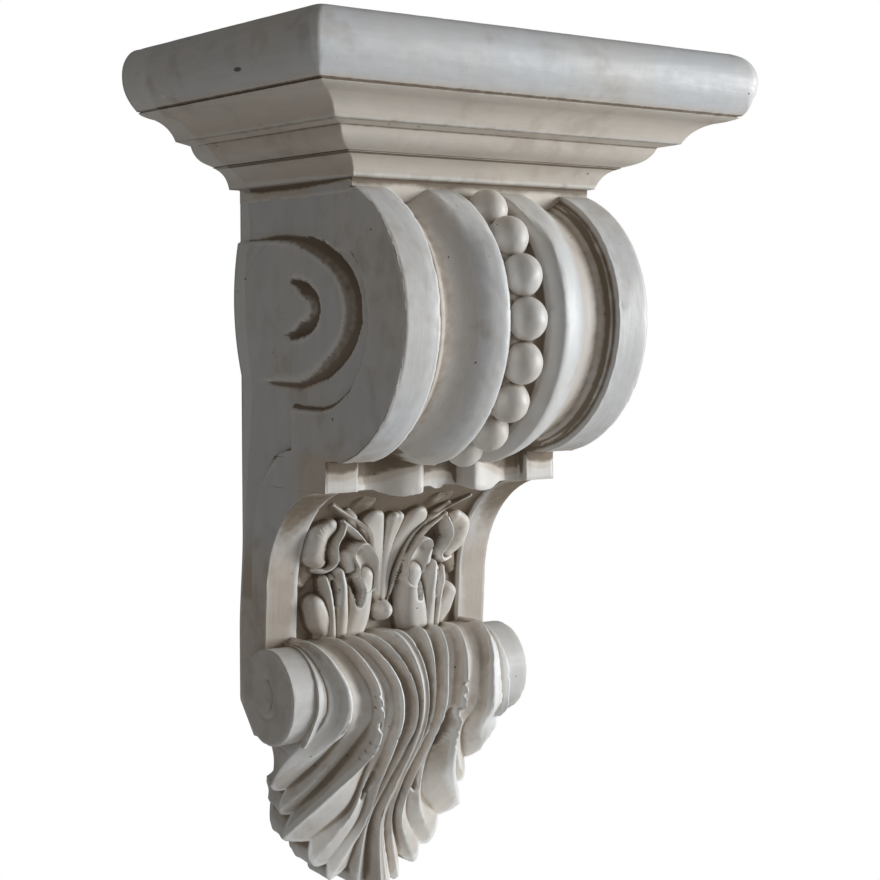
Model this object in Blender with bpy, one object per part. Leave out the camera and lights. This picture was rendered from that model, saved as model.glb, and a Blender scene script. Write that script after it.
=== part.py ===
"""Baroque wall console: a scroll bracket under a moulded shelf, cast in one piece.

X runs along the wall, the wall is the plane y = 0, and the front looks towards -Y.
A "depth" is a distance out from the wall, and a "drop" is a distance below the shelf's top.
The origin is on the flat back, ORIGIN_DROP below the shelf's top.
"""
import math

import bmesh
import bpy
import numpy as np

# Shelf: overall sizes and the members of its moulding, from the top down
SHELF_WIDTH = 0.300
SHELF_DEPTH = 0.193
SLAB_HEIGHT = 0.037
SLAB_ROUND = 0.0133
LIP_WIDTH = 0.0060
COVE_WIDTH = 0.0125
COVE_HEIGHT = 0.0115
STEP_WIDTH = 0.0130
STEP_FALL = 0.0030
OVOLO_WIDTH = 0.0115
OVOLO_HEIGHT = 0.0090
QUIRK = 0.0022
LOW_COVE_WIDTH = 0.0095
LOW_COVE_HEIGHT = 0.0100
LOW_EDGE_HEIGHT = 0.0020
NECK_INSET = 0.0035
NECK_HEIGHT = 0.0070
NECK_REVEAL = 0.0003
ORIGIN_DROP = 0.100

# Upper scroll: its side outline and what is carved across its front
BODY_WIDTH = 0.1574
SCROLL_RADIUS = 0.0715
SCROLL_SWELL = 0.0045
SCROLL_SETBACK = 0.0235
SCROLL_TUCK = 0.0055
BAND_WIDTH = 0.0207
FILLET_WIDTH = 0.0022
FILLET_DEPTH = 0.0038
COVE_DEPTH = 0.0076
COVE_RISE_WIDTH = 0.0065
CREST_WIDTH = 0.0040
CREST_ROUND = 0.0032
RIDGE_HEIGHT = 0.0033
CHANNEL_WIDTH = 0.0250
CHANNEL_WALL = 0.0020
CHANNEL_DEPTH = 0.0070
BEAD_RADIUS = 0.0118
BEAD_SINK = 0.0055
BEAD_FIRST_ANGLE = 62.0
BEAD_COUNT = 8
BLOCK_SETBACK = 0.0040
BLOCK_HEIGHT = 0.0175

# Sides: the flat that is sunk behind the scroll's ribbon, and the oval volute on it
SIDE_SINK = 0.0027
HOLLOW_SETBACK = 0.016
HOLLOW_REACH = 0.054
HOLLOW_HEIGHT = 0.092
RIBBON_STEP = 0.059
RIBBON_STEP_FOOT = 0.008
VOLUTE_SETBACK = 0.040
VOLUTE_LIFT = 0.0050
VOLUTE_FRONT_REACH = 0.072
VOLUTE_WALL_FADE = 0.014
VOLUTE_HEIGHT = 0.080
VOLUTE_RISE = 0.0019
VOLUTE_BEVEL = 0.0065
EYE_REACH = 0.027
EYE_HEIGHT = 0.030
GROOVE_WIDTH = 0.0055
GROOVE_DEPTH = 0.0040
ROLL_GROOVE_DEPTH = 0.0020

# Hollow front below the block, with its carved panel
BLOCK_LEDGE = 0.0040
CAVETTO_DEPTH = 0.0595
CAVETTO_HEIGHT = 0.0640
CAVETTO_BATTER = 0.06
WAIST_HEIGHT = 0.0919
PANEL_RECESS = 0.0045
PANEL_RELIEF = 0.0150
BUTTON_RADIUS = 0.0075
BUTTON_LIFT = 0.0150

# Lower roll and the acanthus leaf that hangs over it
ROLL_RADIUS = 0.0273
ROLL_LENGTH = 0.1672
ROLL_PROUD = 0.0083
LEAF_RISE = 0.0095
LEAF_WIDTH = 0.152
LEAF_LENGTH = 0.157
LEAF_EDGE_DEPTH = 0.024
LEAF_FLUTE = 0.0075
LEAF_BACK_INSET = 0.010

# Stock behind the wall plane on each piece, before the back is sawn flat
SHELF_STOCK = 0.004
SCROLL_STOCK = 0.006
WAIST_STOCK = 0.008
LEAF_STOCK = 0.010
LEDGE_FALL = 0.0003

PAINT_COLOUR = (0.60, 0.57, 0.53, 1.0)
PAINT_ROUGHNESS = 0.62

# Sizes that follow from those above
HALF_BODY = BODY_WIDTH / 2
PANEL_HALF = HALF_BODY - BAND_WIDTH
MOULDING_WIDTH = (SLAB_ROUND + LIP_WIDTH + COVE_WIDTH + STEP_WIDTH + OVOLO_WIDTH + QUIRK + LOW_COVE_WIDTH)
MOULDING_HEIGHT = (SLAB_HEIGHT + COVE_HEIGHT + STEP_FALL + OVOLO_HEIGHT + QUIRK + LOW_COVE_HEIGHT
                   + LOW_EDGE_HEIGHT)
NECK_DEPTH = SHELF_DEPTH - MOULDING_WIDTH - NECK_INSET
NECK_DROP = MOULDING_HEIGHT + NECK_HEIGHT
SCROLL_DEPTH = NECK_DEPTH - SCROLL_SETBACK
SCROLL_DROP = NECK_DROP + SCROLL_RADIUS - SCROLL_TUCK
BLOCK_DEPTH = SCROLL_DEPTH - BLOCK_SETBACK
BLOCK_DROP = SCROLL_DROP + SCROLL_RADIUS + SCROLL_SWELL
BLOCK_FOOT = BLOCK_DROP + BLOCK_HEIGHT
WAIST_DEPTH = BLOCK_DEPTH - BLOCK_LEDGE - CAVETTO_DEPTH
LEAF_TOP = BLOCK_FOOT + WAIST_HEIGHT
ROLL_DROP = LEAF_TOP + ROLL_RADIUS
ROLL_DEPTH = WAIST_DEPTH + ROLL_PROUD
VOLUTE_CENTRE = (SCROLL_DEPTH - VOLUTE_SETBACK, SCROLL_DROP - VOLUTE_LIFT)


def point(x, depth, drop):
    return (x, -depth, ORIGIN_DROP - drop)


def blend(low, high, share):
    share = min(max(share, 0.0), 1.0)
    return low + (high - low) * (1 - math.cos(math.pi * share)) / 2


def lofted(rings):
    """Close a stack of rings, each a loop of the same number of points, into one body."""
    mesh = bmesh.new()
    loops = [[mesh.verts.new(point(*corner)) for corner in ring] for ring in rings]
    for upper, lower in zip(loops, loops[1:]):
        for i in range(len(upper)):
            j = (i + 1) % len(upper)
            mesh.faces.new((upper[i], upper[j], lower[j], lower[i]))
    mesh.faces.new(loops[0])
    mesh.faces.new(loops[-1])
    bmesh.ops.triangulate(mesh, faces=mesh.faces[:])
    bmesh.ops.recalc_face_normals(mesh, faces=mesh.faces[:])
    return mesh


def stored(mesh, name):
    data = bpy.data.meshes.new(name)
    mesh.to_mesh(data)
    mesh.free()
    body = bpy.data.objects.new(name, data)
    bpy.context.scene.collection.objects.link(body)
    return body


def combine(target, tool, operation):
    """Apply one exact Boolean to the target and delete the tool."""
    step = target.modifiers.new(operation.lower(), "BOOLEAN")
    step.operation = operation
    step.solver = "EXACT"
    step.object = tool
    bpy.context.view_layer.update()
    result = bpy.data.meshes.new_from_object(target.evaluated_get(bpy.context.evaluated_depsgraph_get()))
    target.modifiers.remove(step)
    target.data = result
    bpy.data.objects.remove(tool)


# Shelf

def curved_member(start, end, hollow, steps=4):
    """Points after start on a quarter-round or a cove between two (inset, drop) points."""
    corner = (end[0], start[1]) if hollow else (start[0], end[1])
    middle = ((start[0] + end[0]) / 2, (start[1] + end[1]) / 2)
    pull = 0.7 if hollow else 0.9
    control = [m + pull * (c - m) for m, c in zip(middle, corner)]
    points = []
    for i in range(1, steps + 1):
        t = i / steps
        points.append(tuple((1 - t) ** 2 * a + 2 * t * (1 - t) * c + t * t * b
                            for a, c, b in zip(start, control, end)))
    return points


def shelf_profile():
    """(inset, drop) points of the shelf's edge, from its top surface down to the neck."""
    profile = []
    for angle in np.linspace(78, -80, 12):
        bulge = math.cos(math.radians(angle))
        profile.append((SLAB_ROUND * (1 - bulge), SLAB_HEIGHT / 2 * (1 - math.sin(math.radians(angle)))))
    profile[0] = (profile[0][0], 0.0)
    inset, drop = SLAB_ROUND + LIP_WIDTH, SLAB_HEIGHT
    profile.append((inset, drop))
    cove_foot = (inset + COVE_WIDTH, drop + COVE_HEIGHT)
    profile += curved_member((inset, drop), cove_foot, hollow=True)
    step = (cove_foot[0] + STEP_WIDTH, cove_foot[1] + STEP_FALL)
    profile.append(step)
    ovolo_foot = (step[0] + OVOLO_WIDTH, step[1] + OVOLO_HEIGHT)
    profile += curved_member(step, ovolo_foot, hollow=False)
    quirk = (ovolo_foot[0] + QUIRK, ovolo_foot[1] + QUIRK)
    profile.append(quirk)
    low_edge = (quirk[0] + LOW_COVE_WIDTH, quirk[1] + LOW_COVE_HEIGHT)
    profile += curved_member(quirk, low_edge, hollow=True)
    profile.append((low_edge[0], MOULDING_HEIGHT))
    return profile


def moulded_shelf():
    """The shelf runs its moulding round three sides, mitred at the front corners, flat at the wall."""
    rings = []
    for inset, drop in shelf_profile():
        half, depth = SHELF_WIDTH / 2 - inset, SHELF_DEPTH - inset
        rings.append([(-half, -SHELF_STOCK, drop), (-half, depth, drop),
                      (half, depth, drop), (half, -SHELF_STOCK, drop)])
    half = HALF_BODY + NECK_REVEAL
    for drop in (MOULDING_HEIGHT + LEDGE_FALL, NECK_DROP):
        rings.append([(-half, -SHELF_STOCK, drop), (-half, NECK_DEPTH, drop),
                      (half, NECK_DEPTH, drop), (half, -SHELF_STOCK, drop)])
    return stored(lofted(rings), "console")


# Upper scroll

def front_relief():
    """(x, height above the bands) points across the scroll's front, from the middle out."""
    channel = CHANNEL_WIDTH / 2
    crest = channel + CHANNEL_WALL + CREST_ROUND
    crest_end = crest + CREST_WIDTH
    cove = PANEL_HALF - FILLET_WIDTH - COVE_RISE_WIDTH
    relief = [(0.0, -CHANNEL_DEPTH), (channel, -CHANNEL_DEPTH), (channel + CHANNEL_WALL, 0.0),
              (crest, RIDGE_HEIGHT), (crest_end, RIDGE_HEIGHT)]
    for share in (0.2, 0.4, 0.6, 0.8, 1.0):
        relief.append((crest_end + share * (cove - crest_end), blend(RIDGE_HEIGHT, -COVE_DEPTH, share)))
    relief += [(PANEL_HALF - FILLET_WIDTH, -FILLET_DEPTH), (PANEL_HALF, -FILLET_DEPTH),
               (PANEL_HALF + LEDGE_FALL, 0.0), (HALF_BODY, 0.0)]
    return relief


def across(relief):
    """Mirror a list of (x, height) points from the middle out to the full width."""
    return [(-x, height) for x, height in reversed(relief[1:])] + relief


def scroll_radius(angle):
    """The scroll opens slightly as it turns under, and angle is in degrees above level."""
    return SCROLL_RADIUS + SCROLL_SWELL * max(0.0, -angle / 90) ** 2


def scroll_stations():
    """(depth, drop, outward step) along the front outline from the neck to the block's foot."""
    stations = []
    for angle in np.linspace(88, -84, 24):
        turn = math.radians(angle)
        radius = scroll_radius(angle)
        stations.append((SCROLL_DEPTH + radius * math.cos(turn), SCROLL_DROP - radius * math.sin(turn),
                         math.cos(turn), -math.sin(turn)))
    stations.append((BLOCK_DEPTH, BLOCK_DROP + LEDGE_FALL, 1.0, 1.0))
    stations.append((BLOCK_DEPTH, BLOCK_FOOT, 1.0, 0.0))
    return stations


def upper_scroll():
    relief = across(front_relief())
    rings = []
    for depth, drop, out, down in scroll_stations():
        front = [(x, depth + out * height, drop + down * height) for x, height in relief]
        back = min(max(drop, SCROLL_DROP - SCROLL_RADIUS), BLOCK_FOOT)
        rings.append(front + [(HALF_BODY, -SCROLL_STOCK, back), (-HALF_BODY, -SCROLL_STOCK, back)])
    return stored(lofted(rings), "upper_scroll")


def bead(angle):
    """One bead of the string that fills the channel round the scroll."""
    mesh = bmesh.new()
    bmesh.ops.create_uvsphere(mesh, u_segments=12, v_segments=8, radius=BEAD_RADIUS)
    turn = math.radians(angle)
    reach = scroll_radius(angle) - BEAD_SINK
    centre = point(0, SCROLL_DEPTH + reach * math.cos(turn), SCROLL_DROP - reach * math.sin(turn))
    bmesh.ops.translate(mesh, verts=mesh.verts[:], vec=centre)
    bmesh.ops.triangulate(mesh, faces=mesh.faces[:])
    return stored(mesh, "bead")


def bead_angles():
    pitch = math.degrees(2 * math.asin(BEAD_RADIUS / (SCROLL_RADIUS - BEAD_SINK)))
    return [BEAD_FIRST_ANGLE - pitch * i for i in range(BEAD_COUNT)]


# Sides

def prism(outline, inner, outer):
    """A flat plate with a (depth, drop) outline, between two distances from the middle."""
    return stored(lofted([[(x, depth, drop) for depth, drop in outline] for x in (inner, outer)]), "plate")


def oval(centre, front, behind, height, angles):
    """Points round an oval in (depth, drop), with its own reach to the front and to the back."""
    points = []
    for angle in angles:
        turn = math.radians(angle)
        reach = front if math.cos(turn) > 0 else behind
        points.append((centre[0] + reach * math.cos(turn), centre[1] - height / 2 * math.sin(turn)))
    return points


def side_hollow():
    """Outline of the flat behind the ribbon: under the neck, round the volute and down the S."""
    outline = [(-2 * WAIST_STOCK, NECK_DROP + LEDGE_FALL), (SCROLL_DEPTH, NECK_DROP + LEDGE_FALL)]
    centre = (SCROLL_DEPTH - HOLLOW_SETBACK, SCROLL_DROP)
    outline += oval(centre, HOLLOW_REACH, HOLLOW_REACH, HOLLOW_HEIGHT, np.linspace(45, -88, 13))
    step_foot = BLOCK_DROP - RIBBON_STEP_FOOT
    outline += [(RIBBON_STEP, outline[-1][1] + LEDGE_FALL), (RIBBON_STEP, step_foot)]
    sweep = (0, step_foot + RIBBON_STEP_FOOT / 2 + CAVETTO_HEIGHT)
    for depth, drop in oval(sweep, RIBBON_STEP, RIBBON_STEP, 2 * CAVETTO_HEIGHT, np.linspace(78, 0, 6)):
        outline.append((RIBBON_STEP - 0.75 * depth, drop))
    outline.append((-2 * WAIST_STOCK, outline[-1][1] + LEDGE_FALL))
    return outline


def groove(path, surface, width, depth):
    """A V cut along a (depth, drop) path in a side face at distance surface from the middle."""
    rings = []
    for i, (at_depth, at_drop) in enumerate(path):
        before, after = path[max(i - 1, 0)], path[min(i + 1, len(path) - 1)]
        length = math.hypot(after[0] - before[0], after[1] - before[1])
        across_depth = (after[1] - before[1]) / length
        across_drop = -(after[0] - before[0]) / length
        fade = max(0.15, math.sin(math.pi * (i + 0.5) / len(path)) ** 0.5)
        half = width / 2 * fade
        top, bottom = surface + 0.002, surface - depth * fade
        rings.append([(top, at_depth - half * across_depth, at_drop - half * across_drop),
                      (top, at_depth + half * across_depth, at_drop + half * across_drop),
                      (bottom, at_depth, at_drop)])
    return stored(lofted(rings), "groove")


def mirrored(body):
    """A copy of a body on the other side of the middle plane."""
    mesh = bmesh.new()
    mesh.from_mesh(body.data)
    for vertex in mesh.verts:
        vertex.co.x = -vertex.co.x
    bmesh.ops.reverse_faces(mesh, faces=mesh.faces[:])
    return stored(mesh, body.name + "_left")


def volute_plate():
    """The volute's plate: a D that runs back to the wall, its edge slanted to the flat behind it."""
    angles = np.linspace(90, -90, 15)
    foot = oval(VOLUTE_CENTRE, VOLUTE_FRONT_REACH, 0, VOLUTE_HEIGHT, angles)
    rim = oval(VOLUTE_CENTRE, VOLUTE_FRONT_REACH - VOLUTE_BEVEL, 0, VOLUTE_HEIGHT - VOLUTE_BEVEL / 2, angles)
    for outline, fade in ((foot, 0.0), (rim, VOLUTE_WALL_FADE)):
        bottom, top = outline[-1][1] - fade, outline[0][1] + fade
        outline += [(-2 * WAIST_STOCK, bottom), (-2 * WAIST_STOCK, top)]
    sunk = HALF_BODY - 1.2 * SIDE_SINK
    levels = ((sunk - SIDE_SINK, foot), (sunk, foot), (HALF_BODY + VOLUTE_RISE, rim))
    return stored(lofted([[(x, depth, drop) for depth, drop in outline] for x, outline in levels]), "volute")


def volute_eye():
    """The spiral's inner turn, cut into the volute's plate."""
    path = oval(VOLUTE_CENTRE, 1.15 * EYE_REACH, 0.85 * EYE_REACH, EYE_HEIGHT, np.linspace(118, -142, 18))
    return groove(path, HALF_BODY + VOLUTE_RISE, GROOVE_WIDTH, GROOVE_DEPTH)


def roll_spiral():
    """The small spiral cut into the roll's end."""
    path = []
    for turn in np.linspace(0.1, 1.15, 14):
        reach = ROLL_RADIUS * (0.12 + 0.36 * turn)
        angle = 2 * math.pi * turn
        path.append((ROLL_DEPTH + reach * math.cos(angle), ROLL_DROP + reach * math.sin(angle)))
    return groove(path, ROLL_LENGTH / 2, 1.5 * ROLL_GROOVE_DEPTH, ROLL_GROOVE_DEPTH)


# Hollow front and carved panel

def cavetto_depth(drop):
    """Depth of the bands below the block: a quarter oval, then nearly straight."""
    below = (drop - BLOCK_FOOT) / CAVETTO_HEIGHT
    if below < 1:
        return WAIST_DEPTH + CAVETTO_DEPTH * (1 - math.sqrt(1 - (1 - max(below, 0)) ** 2))
    return WAIST_DEPTH - CAVETTO_BATTER * (drop - BLOCK_FOOT - CAVETTO_HEIGHT)


# Carved strokes of the right half: (share of half width, share of height down), width, rise
SPRAY = (
    (((0.45, 0.98), (0.28, 0.82), (0.16, 0.62), (0.20, 0.46), (0.36, 0.36)), 0.16, 1.00),
    (((0.50, 0.98), (0.46, 0.76), (0.50, 0.58), (0.58, 0.42)), 0.14, 0.95),
    (((0.56, 0.98), (0.62, 0.76), (0.64, 0.62)), 0.13, 0.80),
    (((0.72, 0.50), (0.90, 0.46), (0.94, 0.34), (0.84, 0.24), (0.70, 0.30), (0.70, 0.40)), 0.11, 0.85),
    (((0.62, 0.94), (0.78, 0.84), (0.88, 0.72)), 0.20, 0.60),
    (((0.06, 0.66), (0.12, 0.42), (0.26, 0.24), (0.44, 0.14)), 0.07, 0.60),
    (((0.02, 0.60), (0.06, 0.36), (0.08, 0.18)), 0.15, 0.55),
    (((0.20, 0.34), (0.32, 0.20), (0.36, 0.16)), 0.16, 0.45),
)


def stroke_height(x, drop, path, width):
    """Rounded bump, 1 on the path's line and 0 at its width, as an array over x and drop."""
    nearest = np.full(x.shape, 1e9)
    for (x0, d0), (x1, d1) in zip(path, path[1:]):
        along = ((x - x0) * (x1 - x0) + (drop - d0) * (d1 - d0)) / ((x1 - x0) ** 2 + (d1 - d0) ** 2)
        along = np.clip(along, 0, 1)
        nearest = np.minimum(nearest, np.hypot(x - x0 - along * (x1 - x0), drop - d0 - along * (d1 - d0)))
    return np.sqrt(np.clip(1 - (nearest / width) ** 2, 0, 1))


def panel_relief(x, drop):
    """Height of the two mirrored sprays above the panel's field."""
    x = np.abs(x)
    height = np.zeros(x.shape)
    for path, width, rise in SPRAY:
        placed = [(share * PANEL_HALF, BLOCK_FOOT + down * WAIST_HEIGHT) for share, down in path]
        bump = rise * PANEL_RELIEF * stroke_height(x, drop, placed, width * PANEL_HALF)
        height = np.maximum(height, bump)
    button = np.clip(1 - (x ** 2 + (drop - LEAF_TOP + BUTTON_LIFT) ** 2) / BUTTON_RADIUS ** 2, 0, 1)
    return np.maximum(height, 0.65 * PANEL_RELIEF * np.sqrt(button))


def lower_front():
    """The waist below the block: flat bands at the edges and the carved panel between them."""
    inner = PANEL_HALF - LEDGE_FALL
    columns = np.concatenate(([-HALF_BODY, -PANEL_HALF], np.linspace(-inner, inner, 37), [PANEL_HALF, HALF_BODY]))
    drops = BLOCK_FOOT + WAIST_HEIGHT * np.concatenate(([-0.06, -0.002], np.linspace(0.01, 1.1, 32)))
    rings = []
    for drop in drops:
        band = cavetto_depth(drop) if drop > BLOCK_FOOT else BLOCK_DEPTH - 2 * COVE_DEPTH
        field = band - PANEL_RECESS
        relief = panel_relief(columns, drop)
        relief = np.where(np.abs(columns) > inner, PANEL_RECESS, relief)
        if drop < BLOCK_FOOT:
            relief = np.zeros(relief.shape)
        front = [(x, field + rise, drop) for x, rise in zip(columns, relief)]
        half = HALF_BODY if drop > BLOCK_FOOT else HALF_BODY - LEDGE_FALL
        front[0], front[-1] = (-half, *front[0][1:]), (half, *front[-1][1:])
        rings.append(front + [(half, -WAIST_STOCK, drop), (-half, -WAIST_STOCK, drop)])
    return stored(lofted(rings), "lower_front")


# Roll and hanging leaf

def roll():
    mesh = bmesh.new()
    bmesh.ops.create_cone(mesh, cap_ends=True, segments=36, radius1=ROLL_RADIUS, radius2=ROLL_RADIUS,
                          depth=ROLL_LENGTH)
    for vertex in mesh.verts:
        along, up = vertex.co.z, vertex.co.x
        side = vertex.co.y
        vertex.co = point(along, ROLL_DEPTH + side, ROLL_DROP - up)
    bmesh.ops.triangulate(mesh, faces=mesh.faces[:])
    bmesh.ops.recalc_face_normals(mesh, faces=mesh.faces[:])
    return stored(mesh, "roll")


# Hanging leaf: rows are (share of the leaf's length from the roll's top, share of a size)
# Half width and flutes are shares of half the leaf's width, the middle is a share of its own reach
LEAF_EDGE = ((0.00, 0.82), (0.30, 0.87), (0.35, 0.93), (0.40, 0.84), (0.50, 1.00), (0.55, 0.82),
             (0.60, 0.89), (0.64, 0.80), (0.715, 0.87), (0.78, 0.67), (0.85, 0.64), (0.89, 0.43),
             (0.915, 0.36), (0.95, 0.21), (1.00, 0.08))
LEAF_MIDDLE = ((0.28, 1.00), (0.36, 0.91), (0.46, 0.76), (0.53, 0.65), (0.64, 0.48), (0.73, 0.38),
               (0.82, 0.34), (0.93, 0.38), (1.00, 0.38))
FLUTES = (
    ((0.00, 0.08), (0.25, 0.04), (0.60, 0.03), (1.00, 0.01)),
    ((0.00, 0.34), (0.10, 0.28), (0.20, 0.20), (0.45, 0.17), (0.60, 0.25), (0.85, 0.37)),
    ((0.00, 0.55), (0.10, 0.45), (0.18, 0.38), (0.34, 0.36), (0.44, 0.42), (0.52, 0.55), (0.72, 0.85)),
    ((0.00, 0.81), (0.10, 0.63), (0.30, 0.59), (0.40, 0.68), (0.50, 0.96)),
)
OVER_ROLL = 0.28
WRAP = 99.0


def along(table, share):
    return float(np.interp(share, [row[0] for row in table], [row[1] for row in table]))


def leaf_surface(share, side):
    """(depth, drop, out, down) of the leaf without its flutes, and the way it faces.

    side runs from 0 in the middle to 1 at the edge. The leaf first wraps the roll, then hangs.
    """
    rise = LEAF_RISE * (1 - 0.85 * side ** 2)
    turn = math.radians(90 - WRAP * min(share, OVER_ROLL) / OVER_ROLL)
    if share < OVER_ROLL:
        reach = ROLL_RADIUS + rise * min(1.0, 0.25 + 3 * share / OVER_ROLL)
        out, down = math.cos(turn), -math.sin(turn)
        return ROLL_DEPTH + reach * out, ROLL_DROP + reach * down, out, down
    start = ROLL_DROP - (ROLL_RADIUS + rise) * math.sin(turn)
    hang = (share - OVER_ROLL) / (1 - OVER_ROLL)
    drop = start + (LEAF_TOP + LEAF_LENGTH - start) * hang
    middle = (ROLL_DEPTH + ROLL_RADIUS + LEAF_RISE) * along(LEAF_MIDDLE, share)
    edge = min(middle, max(LEAF_EDGE_DEPTH, ROLL_DEPTH + ROLL_RADIUS - LEAF_LENGTH * hang))
    return edge + (middle - edge) * (1 - side ** 2.2), drop, 1.0, 0.0


def leaf_columns(share):
    """(x, how deep in a flute, 0 on a ridge to 1) across the right half of the leaf."""
    half = LEAF_WIDTH / 2 * along(LEAF_EDGE, share)
    ridges = []
    for number, flute in enumerate(FLUTES):
        spare = (len(FLUTES) - number) / (2 * len(FLUTES) + 2)
        ridges.append(min(LEAF_WIDTH / 2 * along(flute, share), half * (1 - spare / 3)))
    ridges = sorted(ridges) + [half]
    columns = [(0.0, 0.4)]
    for inner, outer in zip(ridges, ridges[1:]):
        hollow = min(1.0, (outer - inner) / (0.16 * LEAF_WIDTH / 2))
        columns += [(inner, 0.0), (inner + 0.3 * (outer - inner), hollow), (inner + 0.7 * (outer - inner), hollow)]
    columns.append((half, 0.25))
    return columns


def hanging_leaf():
    """The leaf's fluted front, closed by side walls that run back to the wall."""
    rings = []
    for share in np.linspace(0.0, 1.0, 42):
        columns = leaf_columns(share)
        half = columns[-1][0]
        flute = LEAF_FLUTE * min(1.0, 0.35 + 4 * share, 3 * (1 - share))
        front = []
        for x, hollow in across(columns):
            depth, drop, out, down = leaf_surface(share, abs(x) / half)
            front.append((x, depth - out * flute * hollow, drop - down * flute * hollow))
        back_half = max(half / 2, half - LEAF_BACK_INSET)
        back_drop = front[len(front) // 2][2]
        if share < OVER_ROLL:
            back_drop = LEAF_TOP + share / OVER_ROLL * ROLL_RADIUS
        rings.append(front + [(back_half, -LEAF_STOCK, back_drop), (-back_half, -LEAF_STOCK, back_drop)])
    return stored(lofted(rings), "leaf")


def painted():
    """Worn off-white paint over the cast body."""
    material = bpy.data.materials.new("aged_white_paint")
    material.use_nodes = True
    shader = material.node_tree.nodes["Principled BSDF"]
    shader.inputs["Base Color"].default_value = PAINT_COLOUR
    shader.inputs["Roughness"].default_value = PAINT_ROUGHNESS
    shader.inputs["Metallic"].default_value = 0.0
    return material


def wall_cut():
    """Everything behind the wall plane, sawn off to leave one flat back."""
    mesh = bmesh.new()
    bmesh.ops.create_cube(mesh, size=1.0)
    bmesh.ops.translate(mesh, verts=mesh.verts[:], vec=(0, 0.5, 0))
    return stored(mesh, "wall")


def carved_scroll():
    scroll = upper_scroll()
    for angle in bead_angles():
        combine(scroll, bead(angle), "UNION")
    return scroll


def carve_sides(console):
    """Both sides alike: sink the flat, raise the volute and cut the two spirals."""
    hollow = prism(side_hollow(), HALF_BODY - SIDE_SINK, HALF_BODY + BAND_WIDTH)
    for piece, operation in ((hollow, "DIFFERENCE"), (volute_plate(), "UNION"),
                             (volute_eye(), "DIFFERENCE"), (roll_spiral(), "DIFFERENCE")):
        combine(console, mirrored(piece), operation)
        combine(console, piece, operation)


def build_console():
    for old in list(bpy.data.objects):
        bpy.data.objects.remove(old)
    console = moulded_shelf()
    for piece in (carved_scroll(), lower_front(), roll(), hanging_leaf()):
        combine(console, piece, "UNION")
    carve_sides(console)
    combine(console, wall_cut(), "DIFFERENCE")
    console.data.materials.clear()
    console.data.materials.append(painted())


build_console()
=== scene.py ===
"""Looks of the baroque wall console: carved forms, aged paint, studio floor, light and camera.

X runs along the wall, the wall is the plane y = 0, and the front looks towards -Y. Sizes are in
metres. A "depth" is a distance out from the wall, and a "drop" a distance below the shelf's top.
"""
import itertools
import math

import bmesh
import bpy
import numpy as np
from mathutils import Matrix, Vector
from mathutils.bvhtree import BVHTree


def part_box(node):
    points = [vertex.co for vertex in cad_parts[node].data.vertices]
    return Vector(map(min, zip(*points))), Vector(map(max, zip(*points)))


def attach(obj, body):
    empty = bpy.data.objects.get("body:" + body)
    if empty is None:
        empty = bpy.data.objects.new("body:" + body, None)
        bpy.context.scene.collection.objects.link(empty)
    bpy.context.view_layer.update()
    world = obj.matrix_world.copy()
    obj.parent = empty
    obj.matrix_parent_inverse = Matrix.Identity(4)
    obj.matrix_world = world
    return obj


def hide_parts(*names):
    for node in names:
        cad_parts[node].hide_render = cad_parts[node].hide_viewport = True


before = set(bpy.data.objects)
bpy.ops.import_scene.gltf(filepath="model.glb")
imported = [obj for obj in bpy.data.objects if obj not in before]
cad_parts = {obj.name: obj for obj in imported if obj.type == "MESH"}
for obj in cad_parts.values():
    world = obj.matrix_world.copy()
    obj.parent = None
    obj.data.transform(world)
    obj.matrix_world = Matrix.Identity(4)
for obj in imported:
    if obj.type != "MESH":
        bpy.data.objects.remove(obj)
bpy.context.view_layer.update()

# The shelf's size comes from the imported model
CAD_LOW, CAD_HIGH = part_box("console")
TOP = CAD_HIGH[2]
SHELF_WIDTH = CAD_HIGH[0] - CAD_LOW[0]
SHELF_DEPTH = -CAD_LOW[1]

# Slab of the shelf, its corners rounded by one radius on the left and another on the right
SLAB_HEIGHT = 0.0340
SLAB_ROUND = 0.0115
SLAB_TUCK = 0.0088
NOSE_DROP = 0.0150
SLAB_CORNERS = (0.0040, 0.0095)
ARRIS_ROUND = 0.0009

# Members of the moulding under it, from the top down, as (width, height)
LIP = (0.0111, 0.0039)
COVE = (0.0127, 0.0111)
STEP = (0.0095, 0.0019)
OVOLO = (0.0103, 0.0097)
QUIRK = (0.0035, 0.0016)
LOW_COVE = (0.0105, 0.0105)
LOW_EDGE = (0.0004, 0.0014)
TOP_INSETS = (0.140, 0.115, 0.085, 0.055, 0.035, 0.022, 0.017, 0.0145)
NECK_UNDER = 0.0110
NECK_TUCK = 0.0030
BACK_INSET = 0.0004
# Glaze lines between the members, as (drop, half height, strength)
QUIRK_LINES = ((0.0343, 0.0010, 1.0), (0.0490, 0.0009, 0.62), (0.0625, 0.0010, 0.95),
               (0.0738, 0.0008, 0.75))

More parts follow.
